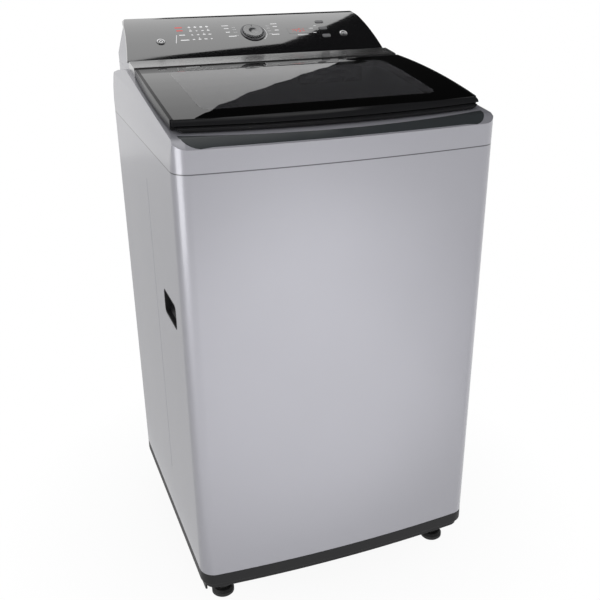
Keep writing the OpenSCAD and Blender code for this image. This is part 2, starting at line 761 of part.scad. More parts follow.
module lid_frame() {
  color("#161617") in_lid() difference() {
    union() {
      intersection() {
        union() {
          translate([0, 0, -lid_t / 2]) linear_extrude(2 * lid_t)
            polygon(lid_side(0, lid_l - nose_bow - 10, 0));
          // Rounded nose
          along_nose() polygon([[-34, -lid_t / 2], [-34, lid_t / 2 + 3], [-14, lid_t / 2 + 1.4],
            [-6, lid_t / 2 - 0.5], [-2, lid_t / 2 - 2.2], [-0.3, lid_t / 2 - 4.5], [0, lid_t / 2 - 6],
            [-1.5, -0.2], [-6, -0.8], [-6, -lid_t / 2]]);
        }
        under_crown(0.3);
      }
      // Rounded rear edge, centred on the hinge axis
      rotate([0, 90, 0]) cylinder(r = lid_t / 2, h = 2 * lid_half(0), center = true);
      // Finger lip under the nose, with slanting ends
      intersection() {
        along_nose() polygon([[-14, -lid_t / 2 - 1.4], [-14, -1.4], [lip_reach - 3, -1.4],
          [lip_reach - 0.6, -2.8], [lip_reach, -4.4], [lip_reach - 0.4, -6.6],
          [lip_reach - 2.5, -lid_t / 2 - 1.4]]);
        along_y(-lid_l - 40, 0) polygon([[-lid_w / 2 + 2, 0.5], [lid_w / 2 - 2, 0.5],
          [lid_w / 2 - 26, -lid_t], [-lid_w / 2 + 26, -lid_t]]);
      }
    }
    glass_room(glass_t + 0.1, -0.2);
    // Window under the glass
    translate([0, 0, -lid_t]) linear_extrude(2 * lid_t)
      polygon(rounded(-window_half, -window_front, window_half, -window_rear, 16));
    // Notches for the hinge knuckles
    for (x = [-knuckle_x, knuckle_x])
      block(x - knuckle_w / 2 - 0.6, -cover_front - 1, -lid_t, x + knuckle_w / 2 + 0.6, lid_t, lid_t);
    rotate([0, 90, 0]) cylinder(r = hinge_pin_r, h = 2 * knuckle_x + 2 * knuckle_w, center = true);
    // Hollow the front rail from below, behind the lip
    block(-window_half, -window_front - 14, -lid_t, window_half, -window_front - 5, lid_t / 2 - glass_t - 3);
  }
}

module lid_glass() {
  color("#303034") in_lid() difference() {
    intersection() {
      glass_room(glass_t, 0);
      under_crown(0);
    }
    for (x = [-knuckle_x, knuckle_x])
      block(x - knuckle_w / 2 - 0.6, -cover_front - 1, -1, x + knuckle_w / 2 + 0.6, lid_t, lid_t);
  }
}

pin_l = knuckle_w + 22;
module lid_hinge_pins() {
  color("lightgray") in_lid() for (x = [-knuckle_x, knuckle_x])
    translate([x, 0, 0]) rotate([0, 90, 0]) cylinder(r = hinge_pin_r, h = pin_l, center = true);
}

// Rubber buffers that carry the closed lid on the deck
module lid_bumpers() {
  color("#2b2b2d") in_lid() for (x = [-lid_w / 2 + 24, lid_w / 2 - 24], d = [50, lid_l - 60])
    translate([x, -d, -lid_t / 2 - lid_gap + 0.2]) cylinder(r = 6, h = lid_gap - 0.2);
}

module lid_hook() {
  hook_d = (hinge_y - hook_y) / cos(deck_a);
  color("#161617") in_lid() translate([hook_x, -hook_d, 0]) union() {
    block(-3, -5, -lid_t / 2 - 17, 3, 5, -lid_t / 2);
    block(-3, -9, -lid_t / 2 - 17, 3, -4, -lid_t / 2 - 12);
  }
}

// Door switch under the deck; the hook drops into its slot
lock_z = deck_z(hook_y) - top_wall - 24;
module lid_lock() {
  lock_top = deck_z(hook_y - 34) - top_wall - 0.2;
  color("whitesmoke") difference() {
    union() {
      block(hook_x - 15, hook_y - 30, lock_z, hook_x + 15, hook_y + 38, lock_top);
      block(hook_x - 15, hook_y - 34, lock_z + 2, hook_x + 15, hook_y - 28, lock_top);
      translate([hook_x - 6, hook_y + 30, lock_z - 9]) cube([12, 6, 10]);
    }
    block(hook_x - 5, hook_y - 16, lock_z + 2, hook_x + 5, hook_y + 20, lock_top + eps);
  }
}

// ---- console

// Side outline of the console, behind the fascia by t and moved in by i
function console_side(t, i) = concat(
  [[fascia_y0 - 11 + i, seat_z + (i > 0 ? -eps : 0)], [rear_y - i, seat_z + (i > 0 ? -eps : 0)],
   [rear_y - i, fascia_top_z - t - i]],
  arc(fascia_cy, fascia_cz, fascia_r - t, fascia_dir(2 * fascia_mid - 1),
      fascia_dir(i), 12));

// Front outline of the console: it narrows to the top, where its corners are round
console_corner_r = 16;
function console_front(i) = let (w0 = console_w / 2 - i,
    w1 = (console_w - console_taper) / 2 - i) concat(
  [[-w0, seat_z - 6], [w0, seat_z - 6], [w0, fascia_z0]],
  arc(w1 - console_corner_r, fascia_top_z + 2 - console_corner_r - i, console_corner_r, 10, 90, 6),
  arc(-w1 + console_corner_r, fascia_top_z + 2 - console_corner_r - i, console_corner_r, 90, 170, 6),
  [[-w0, fascia_z0]]);

housing_wall = 3;
board_half = (console_w - console_taper) / 2 - 43;
module console_form(t, i) {
  intersection() {
    along_x(-console_w / 2 - 5, console_w / 2 + 5) polygon(console_side(t, i));
    along_y(fascia_y0 - 20, rear_y + 5) polygon(console_front(4 + i));
    plan_prism(i, seat_z - 20, fascia_top_z + 20);
  }
}

module console_housing() {
  color("silver") difference() {
    console_form(fascia_t + 0.1, 0);
    console_form(fascia_t + housing_wall, housing_wall);
    // The fascia's controls reach in through a window
    on_fascia([0, fascia_mid])
      rounded_block(-board_half, -fascia_mid + 14, -fascia_t - 20, board_half, fascia_mid - 16, 8, 10);
    // Hand slot and vents in the back
    for (x = [16 - board_half:24:board_half - 16]) block(x, rear_y - 5, seat_z + 16, x + 14, rear_y + eps, seat_z + 20);
  }
}

module key_outline(grow) {
  polygon(rounded(-key_size[0] / 2 - grow, -key_size[1] / 2 - grow, key_size[0] / 2 + grow,
                  key_size[1] / 2 + grow, 3 + grow));
}

module control_panel() {
  color("#101012") difference() {
    intersection() {
      along_x(-console_w / 2 - 5, console_w / 2 + 5) polygon(concat(
        arc(fascia_cy, fascia_cz, fascia_r, fascia_dir(0), fascia_dir(2 * fascia_mid), 16),
        arc(fascia_cy, fascia_cz, fascia_r - fascia_t, fascia_dir(2 * fascia_mid), fascia_dir(0), 16)));
      along_y(fascia_y0 - 20, rear_y + 20) polygon(console_front(0));
    }
    on_fascia(dial_at) cylinder(r = dial_r - 4, h = 30, center = true);
    on_fascia(dial_at) translate([0, 0, -1.2]) cylinder(r = dial_r + ring_w + 0.8, h = 6);
    for (at = [power_at, start_at]) on_fascia(at)
      cylinder(r = button_r + slip, h = 30, center = true);
    for (at = key_at) on_fascia(at) translate([0, 0, -15]) linear_extrude(30) key_outline(slip);
    on_fascia(display_at) translate([-display_size[0] / 2, -display_size[1] / 2, -15])
      cube([display_size[0], display_size[1], 30]);
  }
}

module display_window() {
  color("#201014") on_fascia(display_at) union() {
    translate([-display_size[0] / 2 + 0.1, -display_size[1] / 2 + 0.1, -fascia_t])
      cube([display_size[0] - 0.2, display_size[1] - 0.2, fascia_t]);
    translate([-display_size[0] / 2 - 3, -display_size[1] / 2 - 3, -fascia_t - 2])
      cube([display_size[0] + 6, display_size[1] + 6, 1.7]);
    translate([-display_size[0] / 2 + 0.1, -display_size[1] / 2 + 0.1, -fascia_t - 1])
      cube([display_size[0] - 0.2, display_size[1] - 0.2, 2]);
  }
}

dial_post_r = 3;
module dial_ring() {
  color("gainsboro") on_fascia(dial_at) union() {
    ring(dial_r + 0.8, dial_r + ring_w + 0.5, -1.2, 1.6);
    ring(dial_r - 3, dial_r + 2, -1.2, 0.2);
  }
}

dial_h = 5;
module program_dial() {
  color("#8c8c90") on_fascia(dial_at) difference() {
    union() {
      // A low disc with a round rim and a dish in its middle
      rotate_extrude() polygon([[0, 0.6], [dial_r - 0.6, 0.6], [dial_r, 1.2], [dial_r, dial_h - 2],
        [dial_r - 0.5, dial_h - 0.8], [dial_r - 1.6, dial_h], [9, dial_h - 0.4], [7.6, dial_h - 0.9],
        [5, dial_h - 2], [0, dial_h - 2.4]]);
      disc(dial_post_r, -15, 2);
    }
    // Finger flutes round the rim
    for (k = [0:23]) rotate([0, 0, 15 * k + 7.5]) translate([dial_r + 1.2, 0, 1.8])
      cylinder(r = 1.8, h = dial_h);
    // Pointer groove
    translate([-0.7, dial_r - 8, dial_h - 1.4]) cube([1.4, 5, 3]);
  }
}

// A push cap: a domed head in the fascia's hole, a wider collar behind it and a stem
module push_cap(r) {
  rotate_extrude() polygon([[0, -stem_z], [2.4, -stem_z], [2.4, -fascia_t - 1.9], [r + 1.2, -fascia_t - 1.9],
    [r + 1.2, -fascia_t - 0.6], [r, -fascia_t - 0.6], [r, 0.9], [r - 0.8, 1.5], [0, 1.7]]);
}

module push_key() {
  translate([0, 0, -fascia_t - 1.2]) linear_extrude(fascia_t + 2.4) key_outline(0);
  translate([0, 0, -fascia_t - 1.9]) linear_extrude(1.3) key_outline(1.2);
  disc(2, -stem_z, -fascia_t - 1);
}

module power_button() { color("silver") on_fascia(power_at) push_cap(button_r); }
module start_button() { color("silver") on_fascia(start_at) push_cap(button_r); }
module temperature_key() { color("gray") on_fascia(key_at[0]) push_key(); }
module rinse_key() { color("gray") on_fascia(key_at[1]) push_key(); }
module spin_key() { color("gray") on_fascia(key_at[2]) push_key(); }

// Circuit board along the fascia's back, with a switch under each control
module control_board() {
  back = -board_depth - 8;
  color("darkgreen") difference() {
    union() {
      on_fascia([0, fascia_mid]) {
        block(-board_half - 14, -fascia_mid + 24, back, board_half + 14, fascia_mid - 26, back + 1.6);
        block(-110, -30, back + 1.4, -70, 0, -board_depth + 6);
        for (x = [-60, -42, 36, 54]) block(x, 10, back + 1.4, x + 12, 34, -board_depth + 3);
        // Spacers that seat the board against the housing's rim
        for (x = [-board_half - 8, board_half + 8], y = [-30, 30]) translate([x, y, back + 1])
          cylinder(r = 3, h = board_depth - fascia_t - housing_wall + 7 - 30 * 30 / (2 * fascia_r) - 0.4);
      }
      for (at = concat([power_at, start_at], key_at)) on_fascia(at)
        block(-3.5, -3.5, back - 1, 3.5, 3.5, -stem_z - key_travel - 0.3);
      on_fascia(dial_at) block(-8, -8, back, 8, 8, -12);
      on_fascia(display_at) block(-display_size[0] / 2 - 2, -display_size[1] / 2 - 2, back,
        display_size[0] / 2 + 2, display_size[1] / 2 + 2, -fascia_t - 3);
    }
    on_fascia(dial_at) disc(dial_post_r + run_fit, -20, 0);
  }
}

// ---- water

inlet_x = -60;
inlet_z = seat_z - top_wall - 27;

module water_inlet_valve() {
  color("whitesmoke") difference() {
    union() {
      translate([inlet_x, 0, inlet_z]) rotate([-90, 0, 0]) {
        disc(inlet_r, rear_y, rear_y + inlet_reach);
        disc(inlet_r - 0.6, rear_y - 12, rear_y + 1);
        disc(inlet_r + 5, rear_y - 34, rear_y - top_wall - 0.1);
        disc(inlet_r - 3, rear_y - 66, rear_y - 30);
      }
      // Solenoid coil standing on the valve
      translate([inlet_x, rear_y - 56, inlet_z]) disc(13, 0, 24);
      block(inlet_x - 11, rear_y - 66, inlet_z - 2, inlet_x + 11, rear_y - 40, inlet_z + 12);
      // Outlet pipe to the dispenser
      translate([0, rear_y - 52, inlet_z]) rotate([0, 90, 0])
        disc(6, inlet_x, drawer_x - drawer_w / 2 - 5.6);
    }
    translate([inlet_x, 0, inlet_z]) rotate([-90, 0, 0])
      disc(inlet_r - 3.6, rear_y - 4, rear_y + inlet_reach + eps);
  }
}

case_wall = 2;
module dispenser_housing() {
  x0 = drawer_x - drawer_w / 2 - 0.6;
  x1 = drawer_x + drawer_w / 2 + 0.6;
  y0 = open_y1 + top_wall;
  y1 = open_y1 + drawer_l + 4;
  color("whitesmoke") difference() {
    union() {
      block(x0 - case_wall, y0, drawer_z - 0.6 - case_wall, x1 + case_wall, y1 + case_wall,
            seat_z - top_wall);
      translate([x0 - 5, rear_y - 52, inlet_z]) rotate([0, 90, 0]) disc(9, 0, 5);
    }
    block(x0, y0 - eps, drawer_z - 0.6, x1, y1, drawer_z + drawer_h + 0.6);
    // Chute that rinses the detergent down into the tub
    block(x0 + 12, y0 + 4, drawer_z - 10, x1 - 12, y0 + 22, drawer_z);
    // Water channels over the drawer
    for (x = [x0 + 20:20:x1 - 20]) block(x, y0 + 12, drawer_z + drawer_h, x + 8, y1 - 12,
      drawer_z + drawer_h + 4);
  }
}

module detergent_drawer() {
  x0 = drawer_x - drawer_w / 2;
  x1 = drawer_x + drawer_w / 2;
  y0 = open_y1 - 7;
  color("#3a3b3f") difference() {
    union() {
      block(x0, open_y1 - 1, drawer_z, x1, open_y1 + drawer_l, drawer_z + drawer_h);
      // Front plate with round corners, wider than the mouth behind it
      translate([0, y0 + 6.5, 0]) rotate([90, 0, 0]) linear_extrude(6.5)
        polygon(rounded(x0 - 3, drawer_z - 4, x1 + 3, drawer_z + drawer_h + 3, 6));
    }
    // Two compartments
    block(x0 + 2, open_y1 + 4, drawer_z + 2, drawer_x + 16, open_y1 + drawer_l - 2, drawer_z + drawer_h + eps);
    block(drawer_x + 18, open_y1 + 4, drawer_z + 2, x1 - 2, open_y1 + drawer_l - 2, drawer_z + drawer_h + eps);
    // Rinse slots in the floor
    for (x = [x0 + 12:14:x1 - 24]) block(x, open_y1 + 8, drawer_z - eps, x + 6, open_y1 + 18, drawer_z + 3);
    // Finger pull under the front plate
    translate([0, y0 + 3.5, 0]) rotate([90, 0, 0]) linear_extrude(10)
      polygon(rounded(drawer_x - 26, drawer_z - 12, drawer_x + 26, drawer_z + 6, 5));
  }
}

switch_x = -178;
module pressure_switch() {
  color("whitesmoke") translate([switch_x, rear_y - top_wall - 0.1, inlet_z - 16]) rotate([90, 0, 0]) union() {
    disc(24, 0, 12);
    disc(28, 12, 16);
    disc(22, 16, 26);
    translate([0, -22, 8]) rotate([90, 0, 0]) disc(3, 0, 16);
    block(-8, -4, 26, 8, 6, 34);
  }
}

module drain_outlet() {
  color("#2f3133") difference() {
    union() {
      translate([outlet_x, drain_y, 0]) disc(outlet_r + 1, outlet_z, bellows_z);
      translate([outlet_x, 0, outlet_z]) rotate([-90, 0, 0]) {
        disc(outlet_r + 1, drain_y, rear_y + 2);
        disc(outlet_r, rear_y + 1, rear_y + 16);
      }
      translate([outlet_x, drain_y, outlet_z]) sphere(r = outlet_r + 1);
      // Foot that stands on the base
      block(outlet_x - 20, drain_y + 10, base_top_z, outlet_x + 20, drain_y + 26, outlet_z - outlet_r + 4);
      block(outlet_x - 20, rear_y - 44, base_top_z, outlet_x + 20, rear_y - 28, outlet_z - outlet_r + 4);
      translate([outlet_x, 0, outlet_z]) rotate([-90, 0, 0]) disc(outlet_r + 4, rear_y - 8, rear_y - 3);
    }
    translate([outlet_x, drain_y, 0]) disc(outlet_r - 2.5, outlet_z, bellows_z + eps);
    translate([outlet_x, 0, outlet_z]) rotate([-90, 0, 0]) disc(outlet_r - 2.5, drain_y, rear_y + 20);
    translate([outlet_x, drain_y, outlet_z]) sphere(r = outlet_r - 2.5);
  }
}

// ---- suspension

module corner_brackets() {
  color("lightgray") for (p = rods) difference() {
    intersection() {
      translate([p[0], p[1], 0]) scale_side(p) union() {
        block(-20, -20, bracket_z, 70, 70, bracket_z + 2.5);
        // Folded stiffening edges
        block(-20, -20, bracket_z, -18, 70, seam_z - sheet_t);
        block(-20, -20, bracket_z, 70, -18, seam_z - sheet_t);
      }
      plan_prism(sheet_t + 0.05, seam_z - 80, seam_z);
    }
    translate([p[0], p[1], 0]) disc(rod_r + 1.5, seam_z - 60, seam_z + 20);
  }
}

// Mirrors a child drawn for the rear right corner into a rod's corner
module scale_side(p) {
  mirror([p[0] < 0 ? 1 : 0, 0, 0]) mirror([0, p[1] < tub_y ? 1 : 0, 0]) children();
}

module suspension_rods() {
  seat = bracket_z + 2.5;
  color("gray") for (p = rods) translate([p[0], p[1], 0]) union() {
    // Ball-shaped head that rocks in the bracket
    rotate_extrude() polygon([[0, seat + 6], [rod_r + 1, seat + 6], [rod_r + 5, seat + 3],
      [rod_r + 5, seat], [0, seat]]);
    disc(rod_r, spring_z - 16, seat + 1);
    rotate_extrude() polygon([[0, spring_z - 8], [rod_r + 9, spring_z - 8], [rod_r + 11, spring_z - 5],
      [rod_r + 11, spring_z - 3], [0, spring_z - 3]]);
  }
}

// Compression springs under the tub's lugs: a helix whose end turns lie flat
spring_turns = 6;
spring_r = rod_r + 7;
spring_sides = 6;
spring_steps = 12 * spring_turns;
function spring_points(len, wire) = [for (k = [0:spring_steps], j = [0:spring_sides - 1])
  let (a = 360 * spring_turns * k / spring_steps, b = 360 * j / spring_sides,
       flat = 2.2 * wire,
       z = k < 12 ? flat * k / 12 : k > spring_steps - 12 ? len - flat * (spring_steps - k) / 12 :
           flat + (len - 2 * flat) * (k - 12) / (spring_steps - 24))
    [(spring_r + wire * cos(b)) * cos(a), (spring_r + wire * cos(b)) * sin(a), z + wire * sin(b)]];
function spring_faces() = concat(
  [[for (j = [spring_sides - 1:-1:0]) j]],
  [for (k = [0:spring_steps - 1], j = [0:spring_sides - 1]) let (
    a = k * spring_sides + j, b = k * spring_sides + (j + 1) % spring_sides)
      each [[a, b, a + spring_sides], [b, b + spring_sides, a + spring_sides]]],
  [[for (j = [0:spring_sides - 1]) spring_steps * spring_sides + j]]);
module suspension_springs() {
  color("dimgray") for (p = rods) translate([p[0], p[1], spring_z - 3 + spring_wire_r])
    polyhedron(spring_points(spring_l + 3 - 2 * spring_wire_r, spring_wire_r), spring_faces());
}

module damper_cups() {
  color("#4a4b4e") for (p = rods) translate([p[0], p[1], 0]) difference() {
    union() {
      disc(rod_r + 12, spring_top_z, spring_top_z + 4);
      disc(rod_r + 6, spring_top_z + 3, lug_z + 10);
    }
    disc(rod_r + slip, spring_top_z - eps, lug_z + 12);
  }
}

// ---- tub

hub_r = 46;
plate_bolts = [for (sx = [-1, 1], sy = [-1, 1]) [sx * 78, sy * 78]];

module outer_tub() {
  color("whitesmoke") difference() {
    union() {
      at_tub() {
        ring(tub_in_r, tub_r, tub_z, tub_top_z);
        ring(tub_r - 1, tub_r + 4, tub_top_z - 8, tub_top_z - 4);
        ring(tube_r + 9, tub_r - 1, tub_z, tub_z + 4);
        ring(tube_r + 9, hub_r, tub_z - 10, tub_z + 14);
        ring(tub_r - 2, tub_r + 3, tub_z + 120, tub_z + 124);
        ring(tub_r - 2, tub_r + 3, tub_z + 280, tub_z + 284);
        // Ribs under the floor
        for (a = [15:30:345]) rotate([0, 0, a])
          block(hub_r - 2, -1.5, tub_z - 9, tub_r - 6, 1.5, tub_z + 1);
        // Bosses that seat on the mounting plate, each with a stud and nut
        for (p = plate_bolts) translate([p[0], p[1], 0]) {
          disc(9, plate_z + plate_t, tub_z + 1);
          disc(stud_r, plate_z - 6, tub_z);
          translate([0, 0, plate_z - 4]) cylinder(r = 6, h = 4, $fn = 6);
        }
      }
      // Lugs that the suspension carries
      for (p = rods) hull_lug(p);
      translate([drain_x, drain_y, 0]) disc(valve_r + 3, tub_z - 6, tub_z + 2);
      // Air trap of the level sensor
      translate([-120, tub_y - tub_r + 14, 0]) intersection() {
        block(-14, -14, tub_z + 8, 14, 30, tub_z + 60);
        translate([120, tub_r - 14, 0]) ring(tub_r - 3, tub_r + 12, tub_z, tub_z + 70);
      }
    }
    for (p = rods) translate([p[0], p[1], 0]) disc(rod_r + 6.05, tub_z - 60, tub_z + 60);
    translate([drain_x, drain_y, 0]) disc(valve_r - 5, tub_z - 10, tub_z + 10);
  }
}

// An arm from the tub's foot to one rod
module hull_lug(p) {
  a = atan2(p[1] - tub_y, p[0]);
  reach = norm([p[0], p[1] - tub_y]);
  difference() {
    at_tub() rotate([0, 0, a]) {
      translate([0, 0, lug_z]) linear_extrude(8) polygon([[tub_r - 46, -46], [reach, -20],
        [reach, 20], [tub_r - 46, 46]]);
      translate([reach, 0, 0]) disc(20, lug_z - 8, lug_z + 8);
      for (s = [-1, 1]) along_y_at(s * 18, 3) polygon([[tub_r - 4, lug_z + 4],
        [reach - 4, lug_z + 4], [tub_r - 4, lug_z + 60]]);
    }
    at_tub() disc(tub_in_r, tub_z + 4, tub_top_z);
  }
}

module along_y_at(y, t) {
  translate([0, y + t / 2, 0]) rotate([90, 0, 0]) linear_extrude(t) children();
}

module tub_cover() {
  color("whitesmoke") at_tub() difference() {
    rotate_extrude($fn = 96) polygon([[tub_r + 3, tub_top_z - 3.8], [tub_r + 3, tub_top_z + 4],
      [tub_r - 4, tub_top_z + 16], [mouth_r + 14, tub_top_z + 20], [mouth_r + 6, tub_top_z + 10],
      [mouth_r + 9, tub_top_z + 10], [mouth_r + 15, tub_top_z + 17], [tub_r - 6, tub_top_z + 13],
      [tub_r - 1, tub_top_z], [tub_r + 0.1, tub_top_z], [tub_r + 0.1, tub_top_z - 3.8]]);
    // Snap slots in the rim
    for (a = [0:30:330]) rotate([0, 0, a]) block(tub_r + 1, -6, tub_top_z - 5, tub_r + 9, 6, tub_top_z - 1);
  }
}

module shaft_seal() {
  color("#222222") at_tub() rotate_extrude() polygon([[tube_r + slip, tub_z + 4.1],
    [tube_r + 8.9, tub_z + 4.1], [tube_r + 8.9, tub_z + 13], [tube_r + 5, tub_z + 13],
    [tube_r + 4, tub_z + 8], [tube_r + 2, tub_z + 12], [tube_r + slip, tub_z + 12]]);
}

module mounting_plate() {
  color("lightgray") at_tub() difference() {
    union() {
      translate([0, 0, plate_z]) linear_extrude(plate_t)
        polygon(rounded(-112, -plate_half, motor_x + 80, plate_half, 24));
      // Folded edges
      for (y = [-plate_half, plate_half - plate_t]) block(-88, y, plate_z, 88, y + plate_t, plate_z + 5);
    }
    disc(gearcase_neck_r + 0.05, plate_z - eps, plate_z + 20);
    for (p = plate_bolts) translate([p[0], p[1], 0]) disc(stud_r + 0.1, plate_z - eps, plate_z + 20);
    translate([motor_x, 0, 0]) disc(22, plate_z - eps, plate_z + 20);
    // Lightening holes
    for (y = [-62, 62]) translate([motor_x / 2, y, 0]) disc(12, plate_z - eps, plate_z + 20);
  }
}

// ---- drive

gearcase_neck_r = 30;
stud_r = 3;
gearcase_z = belt_z + belt_h + 10;
carrier_r = tube_r - 4;

module gearcase() {
  color("silver") at_tub() difference() {
    union() {
      rotate_extrude() polygon([[0, gearcase_z], [gearcase_r - 14, gearcase_z],
        [gearcase_r, gearcase_z + 10], [gearcase_r, plate_z - 14], [gearcase_r + 6, plate_z - 8],
        [gearcase_r + 6, plate_z], [gearcase_neck_r, plate_z], [gearcase_neck_r, plate_z + 3.8],
        [tube_r + 8.9, plate_z + 3.8], [tube_r + 8.9, tub_z + 3.8], [0, tub_z + 3.8]]);
      // Stiffening ribs round the case
      for (a = [22.5:45:337.5]) rotate([0, 0, a])
        block(gearcase_r - 2, -2, gearcase_z + 12, gearcase_r + 5, 2, plate_z - 6);
      // Ears of the brake lever's pivot
      for (z = [lever_z - 6.4, lever_z + 3.4]) {
        translate([0, gearcase_r + 7, 0]) disc(7, z, z + 3);
        block(-7, gearcase_r - 8, z, 7, gearcase_r + 7, z + 3);
      }
    }
    translate([0, gearcase_r + 7, 0]) disc(2.5, lever_z - 20, lever_z + 7.5);
    // Bearings below and above the hollow for the planet gears
    disc(carrier_r + slip, gearcase_z - eps, gearcase_z + 13);
    disc(tube_r + slip, plate_z - 13, tub_z + 10);
    disc(gearcase_r - 8, gearcase_z + 12, plate_z - 12);
  }
}

// Brake lever: turns on a pin between the gearcase's ears, and a pin in its slot moves it
module brake_lever() {
  reach = norm([pin_off, lever_l]);
  color("gray") at_tub() translate([0, gearcase_r + 7, 0]) rotate([0, 0, -lever_rest]) union() {
    disc(2.5 - run_fit, lever_z - 6, lever_z + 6);
    difference() {
      union() {
        disc(6, lever_z - 3, lever_z + 3);
        translate([0, 0, lever_z - 1.5]) linear_extrude(3) polygon([[-5, 0], [-6, reach + 4],
          [-3, reach + 8], [3, reach + 8], [6, reach + 4], [5, 0]]);
        // Tail that holds the brake band
        translate([0, 0, lever_z - 1.5]) linear_extrude(3) polygon([[-4, -4], [-34, 4], [-34, 9], [-2, 5]]);
      }
      translate([0, 0, lever_z - 5]) linear_extrude(10)
        polygon(rounded(-2.9, lever_l - 3.2, 2.9, reach + 3.6, 2.8));
    }
  }
}

module drive_motor() {
  bottom = plate_z - motor_h;
  color("dimgray") translate([motor_x, tub_y, 0]) difference() {
    union() {
      rotate_extrude() polygon([[5.3, bottom], [24, bottom], [30, bottom + 8], [motor_r - 6, bottom + 10],
        [motor_r, bottom + 16], [motor_r, plate_z - 18], [motor_r - 6, plate_z - 10], [20, plate_z - 8],
        [20, plate_z - 3], [5.3, plate_z - 3]]);
      // Feet that hang the motor from the plate
      for (a = [45:90:315]) rotate([0, 0, a]) block(motor_r - 14, -8, plate_z - 16, motor_r + 6, 8, plate_z);
      // Winding cover bands
      ring(motor_r - 2, motor_r + 2, bottom + 28, bottom + 32);
      ring(motor_r - 2, motor_r + 2, bottom + 48, bottom + 52);
    }
    for (a = [0:30:330]) rotate([0, 0, a]) translate([motor_r - 16, 0, bottom - 1]) cylinder(r = 4, h = 14);
  }
}

// A grooved pulley whose belt runs at radius r
module pulley(r, bore_r, hub) {
  rotate_extrude() polygon([[bore_r, belt_z - 4], [hub, belt_z - 4], [hub, belt_z],
    [r - 3, belt_z], [r + 5, belt_z - 1], [r + 5, belt_z], [r - 2, belt_z + 2.2], [r - 2, belt_z + belt_h - 2.2],
    [r + 5, belt_z + belt_h], [r + 5, belt_z + belt_h + 1], [r - 3, belt_z + belt_h], [hub, belt_z + belt_h],
    [hub, belt_z + belt_h + 4], [bore_r, belt_z + belt_h + 4]]);
}

module gearcase_pulley() {
  color("lightgray") at_tub() difference() {
    union() {
      pulley(pulley_r, 0, 16);
      disc(carrier_r, belt_z + belt_h, gearcase_z + 16);
      ring(carrier_r - 1, gearcase_r - 12, gearcase_z + 12.4, gearcase_z + 16);
    }
    for (a = [0:60:300]) rotate([0, 0, a]) translate([pulley_r * 0.62, 0, 0])
      disc(pulley_r * 0.2, belt_z - 10, belt_z + 16);
  }
}

module motor_pulley() {
  color("lightgray") translate([motor_x, tub_y, 0]) union() {
    pulley(motor_pulley_r, 0, 9);
    disc(5, belt_z + belt_h, plate_z - 1);
  }
}

// Belt loop: two arcs and their outer tangents
function belt_loop(r0, r1, d, grow) = let (t = acos((r0 - r1) / d)) concat(
  arc(0, 0, r0 + grow, t, 360 - t, 40), arc(d, 0, r1 + grow, -t, t, 20));

module drive_belt() {
  color("#1a1a1a") translate([0, tub_y, belt_z + 2.4]) linear_extrude(belt_h - 4.8) difference() {
    polygon(belt_loop(pulley_r, motor_pulley_r, motor_x, 4));
    polygon(belt_loop(pulley_r, motor_pulley_r, motor_x, -2 + slip));
  }
}

module drain_actuator() {
  color("whitesmoke") translate([0, drain_y, 0]) difference() {
    union() {
      block(actuator_x0 + 8, -20, valve_mid_z - 16, actuator_x0 + 60, 20, plate_z - 6);
      block(actuator_x0 + 8, -8, plate_z - 7, actuator_x0 + 60, 8, plate_z);
      translate([0, 0, valve_mid_z]) rotate([0, 90, 0]) disc(8, actuator_x0 - 6, actuator_x0 + 10);
      translate([actuator_x0 + 34, 0, 0]) disc(15, valve_mid_z - 30, valve_mid_z - 12);
    }
    translate([0, 0, valve_mid_z]) rotate([0, 90, 0])
      disc(link_r + slip, actuator_x0 - 10, actuator_x0 + plug_travel + 4);
  }
}

// Drain valve under the tub: its plug is drawn back towards the actuator
module drain_valve() {
  color("#3c3d40") translate([drain_x, drain_y, 0]) difference() {
    union() {
      disc(valve_r + 3, valve_mid_z - 2, tub_z - 6);
      translate([0, 0, valve_mid_z]) rotate([0, 90, 0]) disc(valve_r + 3, -56, 44);
      translate([-40, 0, 0]) disc(outlet_r, bellows_top, valve_mid_z);
      translate([0, 0, valve_mid_z]) rotate([0, 90, 0]) disc(valve_r + 6, 40, 46);
    }
    disc(valve_r - 5, valve_mid_z, tub_z);
    translate([0, 0, valve_mid_z]) rotate([0, 90, 0]) disc(valve_r, -52, 40);
    translate([0, 0, valve_mid_z]) rotate([0, 90, 0]) disc(link_r + slip, 30, 60);
    translate([-40, 0, 0]) disc(outlet_r - 3, bellows_top - eps, valve_mid_z);
  }
}

module drain_plug() {
  color("#77787c") translate([drain_x, drain_y, valve_mid_z]) union() {
    rotate([0, 90, 0]) {
      disc(valve_r - slip, -12, 10);
      disc(valve_r - 5, -16, -11);
      disc(link_r, 9, link_end);
    }
    // Pin that takes the brake lever along
    translate([pin_off - drain_x, 0, 0]) disc(2.5, 0, link_r + 6);
    translate([pin_off - drain_x, 0, 0]) disc(5, -link_r - 1, link_r + 0.5);
  }
}

// Corrugated hose that lets the tub move over the fixed outlet
module drain_bellows() {
  n = 6;
  top = bellows_top - 0.1;
  step = (top - bellows_z) / n;
  color("#26282a") translate([drain_x - 40, drain_y, 0]) rotate_extrude() polygon(concat(
    [for (k = [0:n]) each [[outlet_r - 1, bellows_z + k * step],
      if (k < n) [outlet_r + 4, bellows_z + (k + 0.5) * step]]],
    [for (k = [n:-1:0]) each [[outlet_r - 3, bellows_z + k * step],
      if (k > 0) [outlet_r + 2, bellows_z + (k - 0.5) * step]]]));
}

module run_capacitor() {
  color("gainsboro") translate([60, rear_y - 44, base_top_z]) union() {
    disc(20, 6, 74);
    disc(22, 0, 7);
    block(-6, -3, 72, -3, 3, 84);
    block(3, -3, 72, 6, 3, 84);
  }
}

// ---- basket

